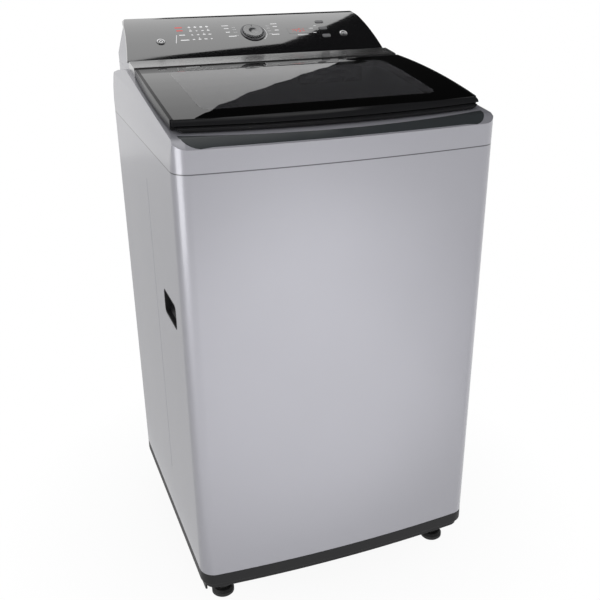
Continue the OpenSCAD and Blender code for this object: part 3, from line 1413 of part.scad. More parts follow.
perf_rows = 5;
perf_cols = 12;
perf_size = [6, 26];
module basket_shell() {
  color("lightgray") at_tub() difference() {
    union() {
      ring(basket_r - basket_t, basket_r, basket_z + 14, basket_top_z - 6);
      // Rolled beads top and bottom
      ring(basket_r - 0.5, basket_r + 2, basket_z + 40, basket_z + 44);
      ring(basket_r - 0.5, basket_r + 2, basket_top_z - 60, basket_top_z - 56);
    }
    for (c = [0:perf_cols - 1], r = [0:perf_rows - 1])
      rotate([0, 0, (c + 0.5 * (r % 2)) * 180 / perf_cols])
        translate([-basket_r - 10, -perf_size[0] / 2,
                   basket_z + 64 + r * (basket_top_z - basket_z - 160) / (perf_rows - 1)])
          cube([2 * basket_r + 20, perf_size[0], perf_size[1]]);
  }
}

base_hub_r = 34;
module basket_base() {
  r1 = basket_r - basket_t - 0.05;
  color("#c9cdd2") at_tub() difference() {
    union() {
      rotate_extrude($fn = 96) polygon([[tube_r + 0.1, basket_z + 4], [base_hub_r, basket_z + 4],
        [base_hub_r + 6, basket_z + 10], [pulsator_r + 8, basket_z + 10], [r1 - 3, basket_z + 16],
        [r1, basket_z + 20], [r1, basket_z + 46], [r1 - 3, basket_z + 46], [r1 - 5, basket_z + 26],
        [pulsator_r + 8, basket_z + 22], [pulsator_r + 5, basket_z + 14], [tube_r + 0.1, basket_z + 14]]);
      // Ribs under the floor
      for (a = [0:30:330]) rotate([0, 0, a]) block(base_hub_r, -1.5, basket_z + 5, pulsator_r, 1.5, basket_z + 12);
    }
    // Drain holes
    for (a = [15:30:345], r = [70, 110, 145]) rotate([0, 0, a]) translate([r, 0, 0])
      disc(5, basket_z, basket_z + 30);
  }
}

module balance_ring() {
  r1 = basket_r - basket_t - 0.05;
  color("#d9dde2") at_tub() union() {
    rotate_extrude($fn = 96) polygon([[mouth_r + 4, basket_top_z - 44], [r1, basket_top_z - 44],
      [r1, basket_top_z - 5.9], [basket_r + 2.5, basket_top_z - 5.9], [basket_r + 2.5, basket_top_z - 2],
      [basket_r - 4, basket_top_z], [mouth_r + 6, basket_top_z], [mouth_r, basket_top_z - 8],
      [mouth_r, basket_top_z - 38]]);
  }
}

// Lint trap clipped to the basket's wall
module lint_filter() {
  r1 = basket_r - basket_t - 0.35;
  color("#aeb6c2") at_tub() rotate([0, 0, 200]) difference() {
    union() {
      translate([r1 - 16, -42, basket_z + 190]) cube([10, 84, 120]);
      // Curved back that lies against the basket's wall
      translate([0, 0, basket_z + 184]) linear_extrude(132)
        polygon(concat(arc(0, 0, r1, -13.5, 13.5, 12), arc(0, 0, r1 - 6, 13.5, -13.5, 12)));
    }
    block(r1 - 13.5, -38, basket_z + 196, r1 - 9, 38, basket_z + 304);
    for (k = [0:6]) block(r1 - 20, -34, basket_z + 202 + 14 * k, r1 - 10, 34, basket_z + 208 + 14 * k);
  }
}

module spin_tube() {
  color("gray") at_tub() union() {
    ring(bush_r, tube_r, gearcase_z + 20, basket_z + 22);
    ring(tube_r - 1, base_hub_r - 4, basket_z - 1, basket_z + 4);
    ring(bush_r, gearcase_r - 12, gearcase_z + 20, gearcase_z + 24);
  }
}

// ---- pulsator

vanes = 6;
pulsator_z = basket_z + 24;
module pulsator() {
  color("#b9c2cf") at_tub() difference() {
    union() {
      rotate_extrude($fn = 96) polygon([[shaft_r - 0.05, pulsator_z], [30, pulsator_z],
        [36, pulsator_z + 4], [pulsator_r - 14, pulsator_z + 6], [pulsator_r, pulsator_z + 2],
        [pulsator_r + 2, pulsator_z + 4], [pulsator_r + 1, pulsator_z + 9], [pulsator_r - 12, pulsator_z + 12],
        [70, pulsator_z + 16], [44, pulsator_z + 30], [26, pulsator_z + 38], [0, pulsator_z + 40],
        [0, pulsator_z + 30], [shaft_r - 0.05, pulsator_z + 30]]);
      // Curved vanes, highest near the hub
      intersection() {
        for (k = [0:vanes - 1]) rotate([0, 0, 360 / vanes * k]) translate([0, 0, pulsator_z + 8])
          linear_extrude(40) vane_outline();
        rotate_extrude($fn = 96) polygon([[0, pulsator_z], [pulsator_r - 6, pulsator_z + 6],
          [pulsator_r - 6, pulsator_z + 18], [110, pulsator_z + 34], [50, pulsator_z + 46], [0, pulsator_z + 46]]);
      }
    }
    // Water holes between the vanes
    for (k = [0:vanes - 1], r = [74, 98, 122]) rotate([0, 0, 360 / vanes * (k + 0.5)])
      translate([r, 0, 0]) disc(3, pulsator_z - 5, pulsator_z + 40);
  }
}

// Outline of one vane, swept back as it goes out
module vane_outline() {
  polygon(concat(
    arc(pulsator_r / 2, -pulsator_r * 0.9, pulsator_r * 0.95, 122, 66, 10),
    arc(pulsator_r / 2, -pulsator_r * 0.9 - 4, pulsator_r * 0.95 - 8, 66, 122, 10)));
}

module pulsator_shaft() {
  color("silver") at_tub() union() {
    disc(shaft_r, gearcase_z + 17, pulsator_z - 2);
    disc(shaft_r - 0.1, pulsator_z - 3, pulsator_z + 26);
    disc(gearcase_r - 16, gearcase_z + 17, gearcase_z + 19.4);
  }
}

// ---- all pieces

cabinet_shell();
rear_panel();
base_frame();
rear_feet();
front_foot_left();
front_foot_right();
foot_nuts();
top_frame();
trim_strip();
hinge_cover();
console_housing();
control_panel();
display_window();
control_board();
dial_ring();
program_dial();
power_button();
start_button();
temperature_key();
rinse_key();
spin_key();
lid_frame();
lid_glass();
lid_hinge_pins();
lid_bumpers();
lid_hook();
lid_lock();
hand_grips();
corner_brackets();
suspension_rods();
suspension_springs();
damper_cups();
water_inlet_valve();
dispenser_housing();
detergent_drawer();
pressure_switch();
drain_outlet();
drain_bellows();
case_screws();
run_capacitor();
outer_tub();
tub_cover();
shaft_seal();
mounting_plate();
gearcase();
brake_lever();
drive_motor();
motor_pulley();
drive_belt();
gearcase_pulley();
drain_actuator();
drain_valve();
drain_plug();
basket_shell();
basket_base();
balance_ring();
lint_filter();
spin_tube();
pulsator();
pulsator_shaft();
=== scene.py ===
# %% [markdown]
# # Dressing a top load washing machine
#
# The washing machine's solids come from a CAD model, with real sizes and real joints. This notebook
# gives them their looks: soft edges, paint, glass, printed signs, light and a camera. Every length
# is in metres, the floor is z = 0 and the front of the machine faces -Y.

# %% Tools
import json
import math

import bmesh
import bpy
from mathutils import Matrix, Vector
from mathutils.bvhtree import BVHTree


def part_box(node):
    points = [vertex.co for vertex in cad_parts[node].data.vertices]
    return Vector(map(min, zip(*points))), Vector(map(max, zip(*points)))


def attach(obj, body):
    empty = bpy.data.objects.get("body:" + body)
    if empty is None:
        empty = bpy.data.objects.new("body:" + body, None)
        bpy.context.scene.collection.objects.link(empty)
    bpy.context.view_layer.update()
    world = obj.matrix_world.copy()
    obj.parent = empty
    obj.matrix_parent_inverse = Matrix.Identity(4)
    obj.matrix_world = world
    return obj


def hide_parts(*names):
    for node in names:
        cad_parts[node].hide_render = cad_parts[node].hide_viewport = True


print("Blender", bpy.app.version_string)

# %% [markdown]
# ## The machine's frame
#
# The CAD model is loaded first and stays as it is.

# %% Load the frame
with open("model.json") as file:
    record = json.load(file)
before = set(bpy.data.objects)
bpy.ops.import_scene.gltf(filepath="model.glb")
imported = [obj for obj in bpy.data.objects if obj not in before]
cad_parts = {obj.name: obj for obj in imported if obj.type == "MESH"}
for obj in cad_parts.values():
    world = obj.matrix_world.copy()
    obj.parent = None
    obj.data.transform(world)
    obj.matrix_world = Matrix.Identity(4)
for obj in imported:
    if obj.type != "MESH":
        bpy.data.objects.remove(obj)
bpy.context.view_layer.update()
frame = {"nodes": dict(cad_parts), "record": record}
nodes = frame["nodes"]
bodies = frame["record"]["behaviour"]["bodies"]
node_body = {node: body for body, held in bodies.items() for node in held}
node_slot = {part["node"]: part["material_slot"] for part in frame["record"]["subparts"]}

# %% [markdown]
# ## The camera
#
# A product view of a tall appliance is taken from a little above the lid and from one side. The
# lens is shifted, as a view camera's is: that moves the machine in the frame without turning the
# camera, so its upright edges keep their slant.

# %% Camera
CAMERA_PLACE = Vector((-0.5231, -1.4815, 1.1724))
TURN, LOOK_DOWN, ROLL = math.radians(-22.065), math.radians(25.804), math.radians(0.232)
SENSOR_MM, LENS_MM = 36, 52.08
LENS_SHIFT = (-0.0449, 0.0518)
NEAREST = 0.05

camera = bpy.data.objects.new("camera", bpy.data.cameras.new("camera"))
camera.data.sensor_width, camera.data.lens = SENSOR_MM, LENS_MM
camera.data.shift_x, camera.data.shift_y = LENS_SHIFT
camera.data.clip_start = NEAREST
camera.matrix_world = (
    Matrix.Translation(CAMERA_PLACE)
    @ Matrix.Rotation(TURN, 4, "Z")
    @ Matrix.Rotation(math.pi / 2 - LOOK_DOWN, 4, "X")
    @ Matrix.Rotation(ROLL, 4, "Z")
)
bpy.context.scene.collection.objects.link(camera)
bpy.context.scene.camera = camera
bpy.context.scene.view_settings.view_transform = "Standard"
print("camera with a", LENS_MM, "mm lens,", round(CAMERA_PLACE.z, 2), "m above the floor")

# %% [markdown]
# ## Writing shaders as sums
#
# A shader is a graph of nodes, and could be wired one link at a time. Wrapping each socket in a
# small class lets Python's own operators add the Math nodes, so a pattern reads as a formula
# instead of a page of links.


# %% Sockets in sums
class Wire:
    """A node's output socket that can be added, subtracted and multiplied."""

    def __init__(self, shade, socket):
        self.shade, self.socket = shade, socket

    def math(self, operation, *others):
        """Adds a Math node that works on this value and the others."""
        values = {0: self, **{k + 1: other for k, other in enumerate(others)}}
        return self.shade.node("ShaderNodeMath", {"operation": operation}, values)[0]

    def __add__(self, other):
        return self.math("ADD", other)

    def __mul__(self, other):
        return self.math("MULTIPLY", other)

    def __sub__(self, other):
        return self.math("SUBTRACT", other)

    def __rsub__(self, other):
        return self.shade.node("ShaderNodeMath", {"operation": "SUBTRACT"}, {0: other, 1: self})[0]

    __radd__, __rmul__ = __add__, __mul__

    def ramp(self, start, end, low, high):
        """Goes from low to high while the value goes from start to end, and stays level outside."""
        return self.shade.node("ShaderNodeMapRange", {"clamp": True}, {
            "Value": self, "From Min": start, "From Max": end, "To Min": low, "To Max": high})[0]

    def inside(self, edge, soft):
        """One where the value is below the edge, nought above it, with a soft step between."""
        return self.ramp(edge + soft, edge - soft, 0.0, 1.0)


print("sockets can be summed")

# %% [markdown]
# Every finish below starts as the same two nodes, a Principled shader and the output. A second class
# makes them and keeps the coordinates at hand. Its one method for all other nodes sets a node's
# settings before its sockets, because a setting can change which sockets there are.


# %% Materials
class Shade:
    """A material whose nodes are made one method call at a time."""

    def __init__(self, name, **surface):
        self.material = bpy.data.materials.new(name)
        self.material.use_nodes = True
        self.tree = self.material.node_tree
        self.tree.nodes.clear()
        self.output = self.tree.nodes.new("ShaderNodeOutputMaterial")
        self.shader = self.tree.nodes.new("ShaderNodeBsdfPrincipled")
        self.tree.links.new(self.shader.outputs[0], self.output.inputs[0])
        self.place = self.node("ShaderNodeTexCoord")["Object"]
        self.set(**surface)

    def plug(self, socket, value):
        """Gives a socket a number, a colour or a wire."""
        if isinstance(value, Wire):
            self.tree.links.new(value.socket, socket)
        elif socket.type == "RGBA" and len(value) == 3:
            socket.default_value = (*value, 1)
        else:
            socket.default_value = value

    def node(self, kind, settings=None, values=None):
        """Adds a node and gives its outputs as wires, by name and by number."""
        made = self.tree.nodes.new(kind)
        for name, value in (settings or {}).items():
            setattr(made, name, value)
        for socket, value in (values or {}).items():
            self.plug(made.inputs[socket], value)
        outputs = [out for out in made.outputs if out.enabled]
        wires = {out.name: Wire(self, out) for out in outputs}
        wires.update({k: Wire(self, out) for k, out in enumerate(outputs)})
        return wires

    def set(self, **surface):
        """Sets sockets of the shader itself, named with _ for each space."""
        for name, value in surface.items():
            self.plug(self.shader.inputs[name.replace("_", " ")], value)

    def noise(self, scale, detail=2.0, roughness=0.5, place=None):
        """Cloudy noise from nought to one, the finer the larger the scale."""
        return self.node("ShaderNodeTexNoise", None, {
            "Vector": place or self.place, "Scale": scale, "Detail": detail,
            "Roughness": roughness})["Fac"]

    def axes(self):
        """The object coordinates as three wires."""
        parts = self.node("ShaderNodeSeparateXYZ", None, {0: self.place})
        return parts["X"], parts["Y"], parts["Z"]

    def blend(self, amount, low, high):
        """A colour between low and high, by amount from 0 to 1."""
        return self.node("ShaderNodeMix", {"data_type": "RGBA"}, {0: amount, 6: low, 7: high})["Result"]

    def bump(self, height, distance, strength):
        """Dents the surface by a height from nought to one, of this distance in metres."""
        made = self.node("ShaderNodeBump", None, {
            "Strength": strength, "Distance": distance, "Height": height})
        self.set(Normal=made["Normal"])


print("materials can be made")

# %% [markdown]
# ## Paints, plastics and metals
#
# The cabinet is steel with a satin silver paint, and most of the rest is moulded plastic. Neither is
# ever flat: paint has a fine orange peel and a faint cloudiness, a moulding its own grain. A painted
# texture has to be unwrapped, and it repeats. Noise on object coordinates avoids both troubles, so
# a broad noise drives the colour and the gloss, and a fine one the bump.


# %% Drift and grain
DRIFT_SCALE, DRIFT_DETAIL, GLOSS_SWING = 6, 3, 0.08
GRAIN_DETAIL, GRAIN_STRENGTH = 1, 0.6


def tinted(colour, share):
    """The colour made lighter or darker by a share, no lighter than white."""
    return [min(1, c * share) for c in colour]


def clouded(shade, colour, vary):
    """A broad drift, and a colour that follows it a little to either side."""
    drift = shade.noise(DRIFT_SCALE, DRIFT_DETAIL)
    return drift, shade.blend(drift, tinted(colour, 1 - vary), tinted(colour, 1 + vary))


def grained(shade, colour, drift, roughness, scale, depth):
    """Sets the colour, a gloss that varies with the drift, and a fine grain of this scale and depth."""
    shade.set(Base_Color=colour)
    shade.set(Roughness=drift * GLOSS_SWING + (roughness - GLOSS_SWING / 2))
    shade.bump(shade.noise(scale, GRAIN_DETAIL), depth, GRAIN_STRENGTH)
    return shade.material


def speckled(name, colour, roughness, scale=900, depth=0.00002, vary=0.04, **more):
    """A moulded or painted surface: fine grain, and a colour that drifts a little."""
    shade = Shade(name, **more)
    drift, paint = clouded(shade, colour, vary)
    return grained(shade, paint, drift, roughness, scale, depth)


print("the gloss swings by", GLOSS_SWING)

# %% [markdown]
# Where the top frame meets the cabinet runs a shut line, a narrow gap all round that lies in shade. A
# groove in both solids would cast that shade, but they stay as they are. So the silver gets a painted
# shade close to that height, which is read from the cabinet's own box.

# %% Silver and the painted shade of its shut line
SILVER = (0.418, 0.415, 0.452)
SEAM_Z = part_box("cabinet_shell")[1][2]
# How wide the painted shade of the shut line is, how soft its edge, and how dark it makes the silver
SEAM_HALF, SEAM_SOFT, SEAM_SHADE = 0.0009, 0.0004, 0.25


def silver(name, roughness, scale, depth, vary, **more):
    """The machine's silver: cloudy, finely pebbled, and with painted shade in the shut line under the
    top.
    """
    shade = Shade(name, **more)
    drift, paint = clouded(shade, SILVER, vary)
    height = shade.axes()[2]
    # Painted shade: the silver darkens within a millimetre of the shut line, standing in for the gap's
    # shadow
    painted_gap_shade = (height - SEAM_Z).math("ABSOLUTE").inside(SEAM_HALF, SEAM_SOFT)
    paint = shade.blend(painted_gap_shade, paint, tinted(SILVER, SEAM_SHADE))
    return grained(shade, paint, drift, roughness, scale, depth)


print("the shut line is at", round(SEAM_Z, 4), "m")

# %% [markdown]
# The finishes differ in a few numbers only: colour, roughness, the scale and depth of the grain and
# how far the colour varies. What is named after these goes straight to the shader's sockets. The
# fascia and the parts set in it share one gloss, a clear lacquer over a plastic like a mirror.

# %% Paints and plastics
LACQUER = {"Coat_Weight": 1.0, "Coat_IOR": 1.6, "IOR": 1.9, "Specular_IOR_Level": 1.0}

finish = {
    "body_paint": silver("body_paint", 0.36, 1400, 0.000012, 0.02,
                         Metallic=0.3, Coat_Weight=0.5, Coat_Roughness=0.16),
    "top_plastic": silver("top_plastic", 0.33, 1800, 0.00001, 0.015,
                          Metallic=0.3, Coat_Weight=0.5, Coat_Roughness=0.13),
    "base_black": speckled("base_black", (0.012, 0.012, 0.013), 0.5, 900, 0.00003,
                           Specular_IOR_Level=0.3),
    "rubber_black": speckled("rubber_black", (0.012, 0.012, 0.012), 0.7, 500, 0.00004),
    "trim_grey": speckled("trim_grey", (0.041, 0.046, 0.049), 0.3, 1600, 0.000008,
                          Specular_IOR_Level=0.25),
    # The knob is black, lifted to a dark grey: partly its own colour, partly a painted reflection of
    # the grey the fascia mirrors
    "knob_black": speckled("knob_black", (0.09, 0.09, 0.092), 0.24, 1600, 0.000004, 0.1,
                           **{**LACQUER, "Specular_IOR_Level": 0.9}),
    "button_silver": speckled("button_silver", (0.03, 0.03, 0.032), 0.16, 1600, 0.000006, 0.1,
                              Coat_Weight=1.0, Coat_Roughness=0.05),
    "key_grey": speckled("key_grey", (0.22, 0.22, 0.225), 0.35, 1600, 0.000008),
    "white_plastic": speckled("white_plastic", (0.6, 0.6, 0.58), 0.45, 900, 0.00002),
    "pulsator_blue": speckled("pulsator_blue", (0.30, 0.34, 0.42), 0.35, 900, 0.00002),
    "drawer_grey": speckled("drawer_grey", (0.03, 0.031, 0.035), 0.4, 1200, 0.00002),
    "board_green": speckled("board_green", (0.01, 0.07, 0.03), 0.35, 300, 0.0001, 0.3),
    "aluminium_cast": speckled("aluminium_cast", (0.42, 0.42, 0.42), 0.45, 700, 0.00006, 0.06,
                               Metallic=0.9),
    "hinge_black": speckled("hinge_black", (0.035, 0.035, 0.035), 0.24, 40, 0.00001, 0.1,
                            Coat_Weight=1.0, Coat_Roughness=0.2, IOR=1.9, Specular_IOR_Level=1.0),
    "gloss_black": speckled("gloss_black", (0.017, 0.017, 0.018), 0.16, 40, 0.00002, 0.1,
                            Specular_IOR_Level=0.04),
    "fascia_black": speckled("fascia_black", (0.006, 0.006, 0.007), 0.07, 30, 0.00001, 0.1, **LACQUER),
    "display_red": speckled("display_red", (0.012, 0.003, 0.004), 0.07, 30, 0.00001, 0.1, **LACQUER),
}
print("plastics and paints", len(finish))

# %% [markdown]
# Sheet steel straight from the mill shows fine lines, and zinc coated sheet flat crystals. An
# anisotropic shader would only stretch the highlights. Stretching the coordinates before the noise
# draws the lines themselves: a small scale along one axis makes long streaks. A Voronoi texture
# gives each crystal a tone of its own.


# %% Metals
STREAK_DETAIL, STREAK_BREAKUP, STREAK_SWING = 4, 0.6, 0.18
STREAK_DEPTH, STREAK_STRENGTH = 0.00002, 0.5
CLOUD_SCALE, CLOUD_DETAIL, CLOUD_SHADE = 9, 2, 0.93
CRYSTAL_SCALE, CRYSTAL_SHADE = 110.0, 0.8
CRYSTAL_GLOSS, CRYSTAL_SWING = 0.38, 0.15


def stretched(shade, scale):
    """The object coordinates with each axis scaled, for grain that runs one way."""
    return shade.node("ShaderNodeMapping", None, {"Vector": shade.place, "Scale": scale})["Vector"]


def drawn_metal(name, colour, roughness, stretch, **more):
    """Metal with a grain along the axis whose stretch is small."""
    shade = Shade(name, Metallic=1.0, **more)
    streak = shade.noise(1.0, STREAK_DETAIL, STREAK_BREAKUP, stretched(shade, stretch))
    cloud = shade.noise(CLOUD_SCALE, CLOUD_DETAIL)
    shade.set(Base_Color=shade.blend(cloud, tinted(colour, CLOUD_SHADE), colour))
    shade.set(Roughness=streak * STREAK_SWING + (roughness - STREAK_SWING / 2))
    shade.bump(streak, STREAK_DEPTH, STREAK_STRENGTH)
    return shade.material


def spangled(name, colour):
    """Zinc coated sheet: large flat crystals, each a little lighter or darker."""
    shade = Shade(name, Metallic=0.9)
    crystal = shade.node("ShaderNodeTexVoronoi", None, {
        "Vector": shade.place, "Scale": CRYSTAL_SCALE})
    grey = shade.node("ShaderNodeRGBToBW", None, {0: crystal["Color"]})[0]
    shade.set(Base_Color=shade.blend(grey, tinted(colour, CRYSTAL_SHADE), colour))
    shade.set(Roughness=grey * CRYSTAL_SWING + CRYSTAL_GLOSS)
    return shade.material


finish.update({
    "zinc_sheet": spangled("zinc_sheet", (0.5, 0.51, 0.52)),
    "stainless": drawn_metal("stainless", (0.55, 0.55, 0.56), 0.3, (30, 30, 900)),
    "steel_bright": drawn_metal("steel_bright", (0.55, 0.55, 0.55), 0.28, (200, 200, 2500)),
    "steel_spring": drawn_metal("steel_spring", (0.12, 0.12, 0.13), 0.4, (900, 900, 900)),
    "screw_zinc": drawn_metal("screw_zinc", (0.5, 0.5, 0.48), 0.35, (2000, 2000, 2000)),
    "chrome_trim": drawn_metal("chrome_trim", (0.16, 0.16, 0.165), 0.18, (600, 600, 600)),
})
print("finishes with the metals", len(finish))

# %% [markdown]
# The lid's glass is smoked: it lets a little light through and mirrors the rest. A Transparent
# shader can't bend or mirror light, so this is the Principled shader with its transmission turned
# up and a dark base colour for the smoke. The border is printed black on the underside, so a mask on
# the base colour leaves only a window in the middle clear.

# %% Glass
WINDOW_MIDDLE, WINDOW_HALF = (0, -0.068), (0.203, 0.114)
WINDOW_CORNER, WINDOW_SOFT = 0.02, 0.0004
SMEAR_SCALE, SMEAR_DETAIL, SMEAR = 14, 4, 0.02
BORDER = (0.0, 0.0, 0.0)


def window_mask(shade):
    """A rounded rectangle seen from above: one inside, nought outside."""
    across, along = [
        ((place - centre).math("ABSOLUTE") - (half - WINDOW_CORNER)).math("MAXIMUM", 0.0)
        for place, centre, half in zip(shade.axes()[:2], WINDOW_MIDDLE, WINDOW_HALF)]
    return (across * across + along * along).math("SQRT").inside(WINDOW_CORNER, WINDOW_SOFT)


def smoked(name, colour):
    """Dark clear glass with a black border and faint smears."""
    shade = Shade(name, Transmission_Weight=1.0, IOR=1.45)
    shade.set(Base_Color=shade.blend(window_mask(shade), BORDER, colour))
    shade.set(Roughness=shade.noise(SMEAR_SCALE, SMEAR_DETAIL) * SMEAR)
    return shade.material


finish["glass_dark"] = smoked("glass_dark", (0.15, 0.15, 0.16))
print("window in the lid", [2000 * side for side in WINDOW_HALF], "mm")

# %% [markdown]
# ## Soft edges
#
# A CAD solid has edges of no width at all, and nothing real has. Each solid is copied, its loose
# triangles are joined and flat neighbours are dissolved into one face. Picking the sharp edges by
# hand would take thousands of clicks, so the Bevel modifier finds them by their angle. The rounded
# copy stands for the solid, which stays hidden underneath.


# %% Dressing a node
# Points nearer than SAME_PLACE are one point, and faces that bend less than FLAT are one face
SAME_PLACE = 0.000004
FLAT, SMOOTH = math.radians(0.4), math.radians(32)
# The hinge bar is glossier than the other black mouldings, with a softer sheen than the fascia
PAINT = {"hinge_cover": "hinge_black"}


def soft_copy(name, width):
    """A copy of a CAD node with joined faces, smooth curves and its sharp edges rounded."""
    mesh = nodes[name].data.copy()
    mesh.name = name + "_dressed"
    shape = bmesh.new()
    shape.from_mesh(mesh)
    bmesh.ops.remove_doubles(shape, verts=shape.verts, dist=SAME_PLACE)
    bmesh.ops.dissolve_limit(
        shape, angle_limit=FLAT, verts=shape.verts, edges=shape.edges, delimit={"NORMAL"})
    for edge in shape.edges:
        bent = edge.calc_face_angle(0) if len(edge.link_faces) == 2 else 0
        edge.smooth = bent < SMOOTH
    for face in shape.faces:
        face.smooth = True
    shape.to_mesh(mesh)
    shape.free()
    mesh.materials.clear()
    mesh.materials.append(finish[PAINT.get(name, node_slot[name])])
    piece = bpy.data.objects.new(name + "_dressed", mesh)
    bpy.context.scene.collection.objects.link(piece)
    if width:
        bevel = piece.modifiers.new("soft edges", "BEVEL")
        bevel.width, bevel.segments, bevel.limit_method = width, 2, "ANGLE"
        bevel.angle_limit = SMOOTH
        bevel.harden_normals, bevel.use_clamp_overlap = True, True
        bevel.miter_outer = "MITER_ARC"
        # Large flat faces keep their own direction, so they mirror without ripples
        even = piece.modifiers.new("even shading", "WEIGHTED_NORMAL")
        even.mode, even.weight, even.keep_sharp = "FACE_AREA", 50, True
    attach(piece, node_body[name])
    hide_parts(name)
    return piece


print("finishes ready", len(finish))

# %% [markdown]
# Large mouldings are rounder at their edges than sheet steel and the small parts of the console. A
# node that isn't listed is hidden inside or too small to show an edge, and a bevel there would cost
# faces that nobody sees. Radii are in metres.

# %% Dressing them all
EDGE = {
    "cabinet_shell": 0.0004, "top_frame": 0.0012, "lid_frame": 0.0008, "lid_glass": 0.0009,
    "hinge_cover": 0.0008, "console_housing": 0.0010, "control_panel": 0.0009, "base_frame": 0.0008,
    "hand_grips": 0.0012, "trim_strip": 0.0003, "program_dial": 0.0004, "dial_ring": 0.0003,
    "power_button": 0.0003, "start_button": 0.0003, "temperature_key": 0.0003, "rinse_key": 0.0003,
    "spin_key": 0.0003, "rear_panel": 0.0003, "detergent_drawer": 0.0008, "tub_cover": 0.0006,
    "balance_ring": 0.0012, "pulsator": 0.0012, "basket_base": 0.0006, "outer_tub": 0.0006,
}
dressed = {name: soft_copy(name, EDGE.get(name, 0.0)) for name in sorted(nodes)}
print("dressed", len(dressed), "nodes")

# %% [markdown]
# ## Printed signs
#
# The console carries plain signs: dashes beside the programs, small icons, key legends and a ring
# for power. A painted texture would have to be unwrapped, and would blur close up. So each sheet of
# ink is a flat mesh, drawn in millimetres from bars, discs and bands.

# %% Ink
BAND_STEP = 10


class Ink:
    """Flat signs in millimetres, u to the right and v upward."""

    def __init__(self):
        self.drawn = bmesh.new()

    def put(self, verts, u, v, turn=0.0, scale=(1, 1)):
        """Brings what was just drawn round the zero to its size, turn and place."""
        placed = (Matrix.Translation((u, v, 0)) @ Matrix.Rotation(math.radians(turn), 4, "Z")
                  @ Matrix.Diagonal((*scale, 1, 1)))
        bmesh.ops.transform(self.drawn, matrix=placed, verts=verts)

    def bar(self, u, v, wide, high, turn=0.0, steps=1):
        """A rectangle, in several steps where it is long enough to follow a curve."""
        made = bmesh.ops.create_grid(self.drawn, x_segments=1, y_segments=steps, size=0.5)
        self.put(made["verts"], u, v, turn, (wide, high))

    def disc(self, u, v, radius, sides=20, turn=0.0):
        """A disc, or a triangle with three sides."""
        made = bmesh.ops.create_circle(self.drawn, cap_ends=True, segments=sides, radius=radius)
        self.put(made["verts"], u, v, turn)

    def arc(self, u, v, radius, wide, start=0, end=360):
        """A band round a point from one angle to another, made by spinning one short edge."""
        earlier = set(self.drawn.verts)
        ends = [self.drawn.verts.new((radius + side * wide / 2, 0, 0)) for side in (-1, 1)]
        edge = self.drawn.edges.new(ends)
        bmesh.ops.spin(
            self.drawn, geom=[*ends, edge], cent=(0, 0, 0), axis=(0, 0, 1), use_merge=True,
            angle=math.radians(end - start), steps=round((end - start) / BAND_STEP))
        self.put([vert for vert in self.drawn.verts if vert not in earlier], u, v, start)


print("ink can be drawn")

# %% [markdown]
# The fascia slopes and bows, so a flat sheet doesn't lie on it. A Shrinkwrap modifier could press
# the sheet down. A ray for each point does the same and also tells when a sign misses its part. All
# the points fall the same way, square to the fascia's slope, so the drawing keeps its form, and they
# stop a tenth of a millimetre proud of what they land on.

# %% Laying the ink
SLOPE = math.radians(28.06)
RIGHT = Vector((1, 0, 0))
UP_FASCIA = Vector((0, math.cos(SLOPE), math.sin(SLOPE)))
FALL = Vector((0, math.sin(SLOPE), -math.cos(SLOPE))).normalized()
# How far above the origin the points start, how far they may fall, and how proud they stop
ABOVE, REACH, PROUD = 0.06, 0.2, 0.0001


def drop(drawn, name, node, origin):
    """Moves each drawn point down onto the node, with the zero of u and v at the origin."""
    ground = nodes[node].data
    seen = BVHTree.FromPolygons([vert.co for vert in ground.vertices],
                                [tuple(face.vertices) for face in ground.polygons])
    for vert in drawn.verts:
        start = origin + (RIGHT * vert.co.x + UP_FASCIA * vert.co.y) / 1000
        hit, normal, face, far = seen.ray_cast(start - FALL * ABOVE, FALL, REACH)
        if hit is None:
            raise ValueError(f"{name}: a sign misses {node} at {vert.co}")
        vert.co = hit + (-normal if normal.dot(FALL) > 0 else normal) * PROUD


def lay(ink, name, node, origin, paint):
    """Makes the ink a piece of its own that rides with the node below it."""
    drawn = ink.drawn
    drop(drawn, name, node, origin)
    bmesh.ops.recalc_face_normals(drawn, faces=drawn.faces)
    upside_down = [face for face in drawn.faces if face.normal.dot(FALL) > 0]
    bmesh.ops.reverse_faces(drawn, faces=upside_down)
    mesh = bpy.data.meshes.new(name)
    drawn.to_mesh(mesh)
    drawn.free()
    mesh.materials.append(paint)
    piece = bpy.data.objects.new(name, mesh)
    bpy.context.scene.collection.objects.link(piece)
    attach(piece, node_body[node])
    print(name, "has", len(mesh.polygons), "faces")


# The pale ink glows a little: painted light that keeps the printed signs bright on the black fascia
pale_ink_painted_glow = speckled("pale_ink_painted_glow", (0.78, 0.78, 0.78), 0.4, 2500, 0.000002,
                     Emission_Color=(1, 1, 1, 1), Emission_Strength=0.35)
ink_red = speckled("ink_red", (0.45, 0.05, 0.05), 0.4, 2500, 0.000002,
                   Emission_Color=(1.0, 0.10, 0.08, 1), Emission_Strength=0.5)
print("the fascia slopes by", round(math.degrees(SLOPE), 1), "degrees")

# %% [markdown]
# The console's signs sit round the dial. Places in the machine's own coordinates would have to be
# worked out again if the console moved, so the middle of the dial's box is the zero of the drawing.


# %% Console signs
def middle(box):
    """The middle of a box given by its two corners."""
    low, high = box
    return (low + high) / 2


dial_middle = middle(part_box("program_dial"))
signs = Ink()
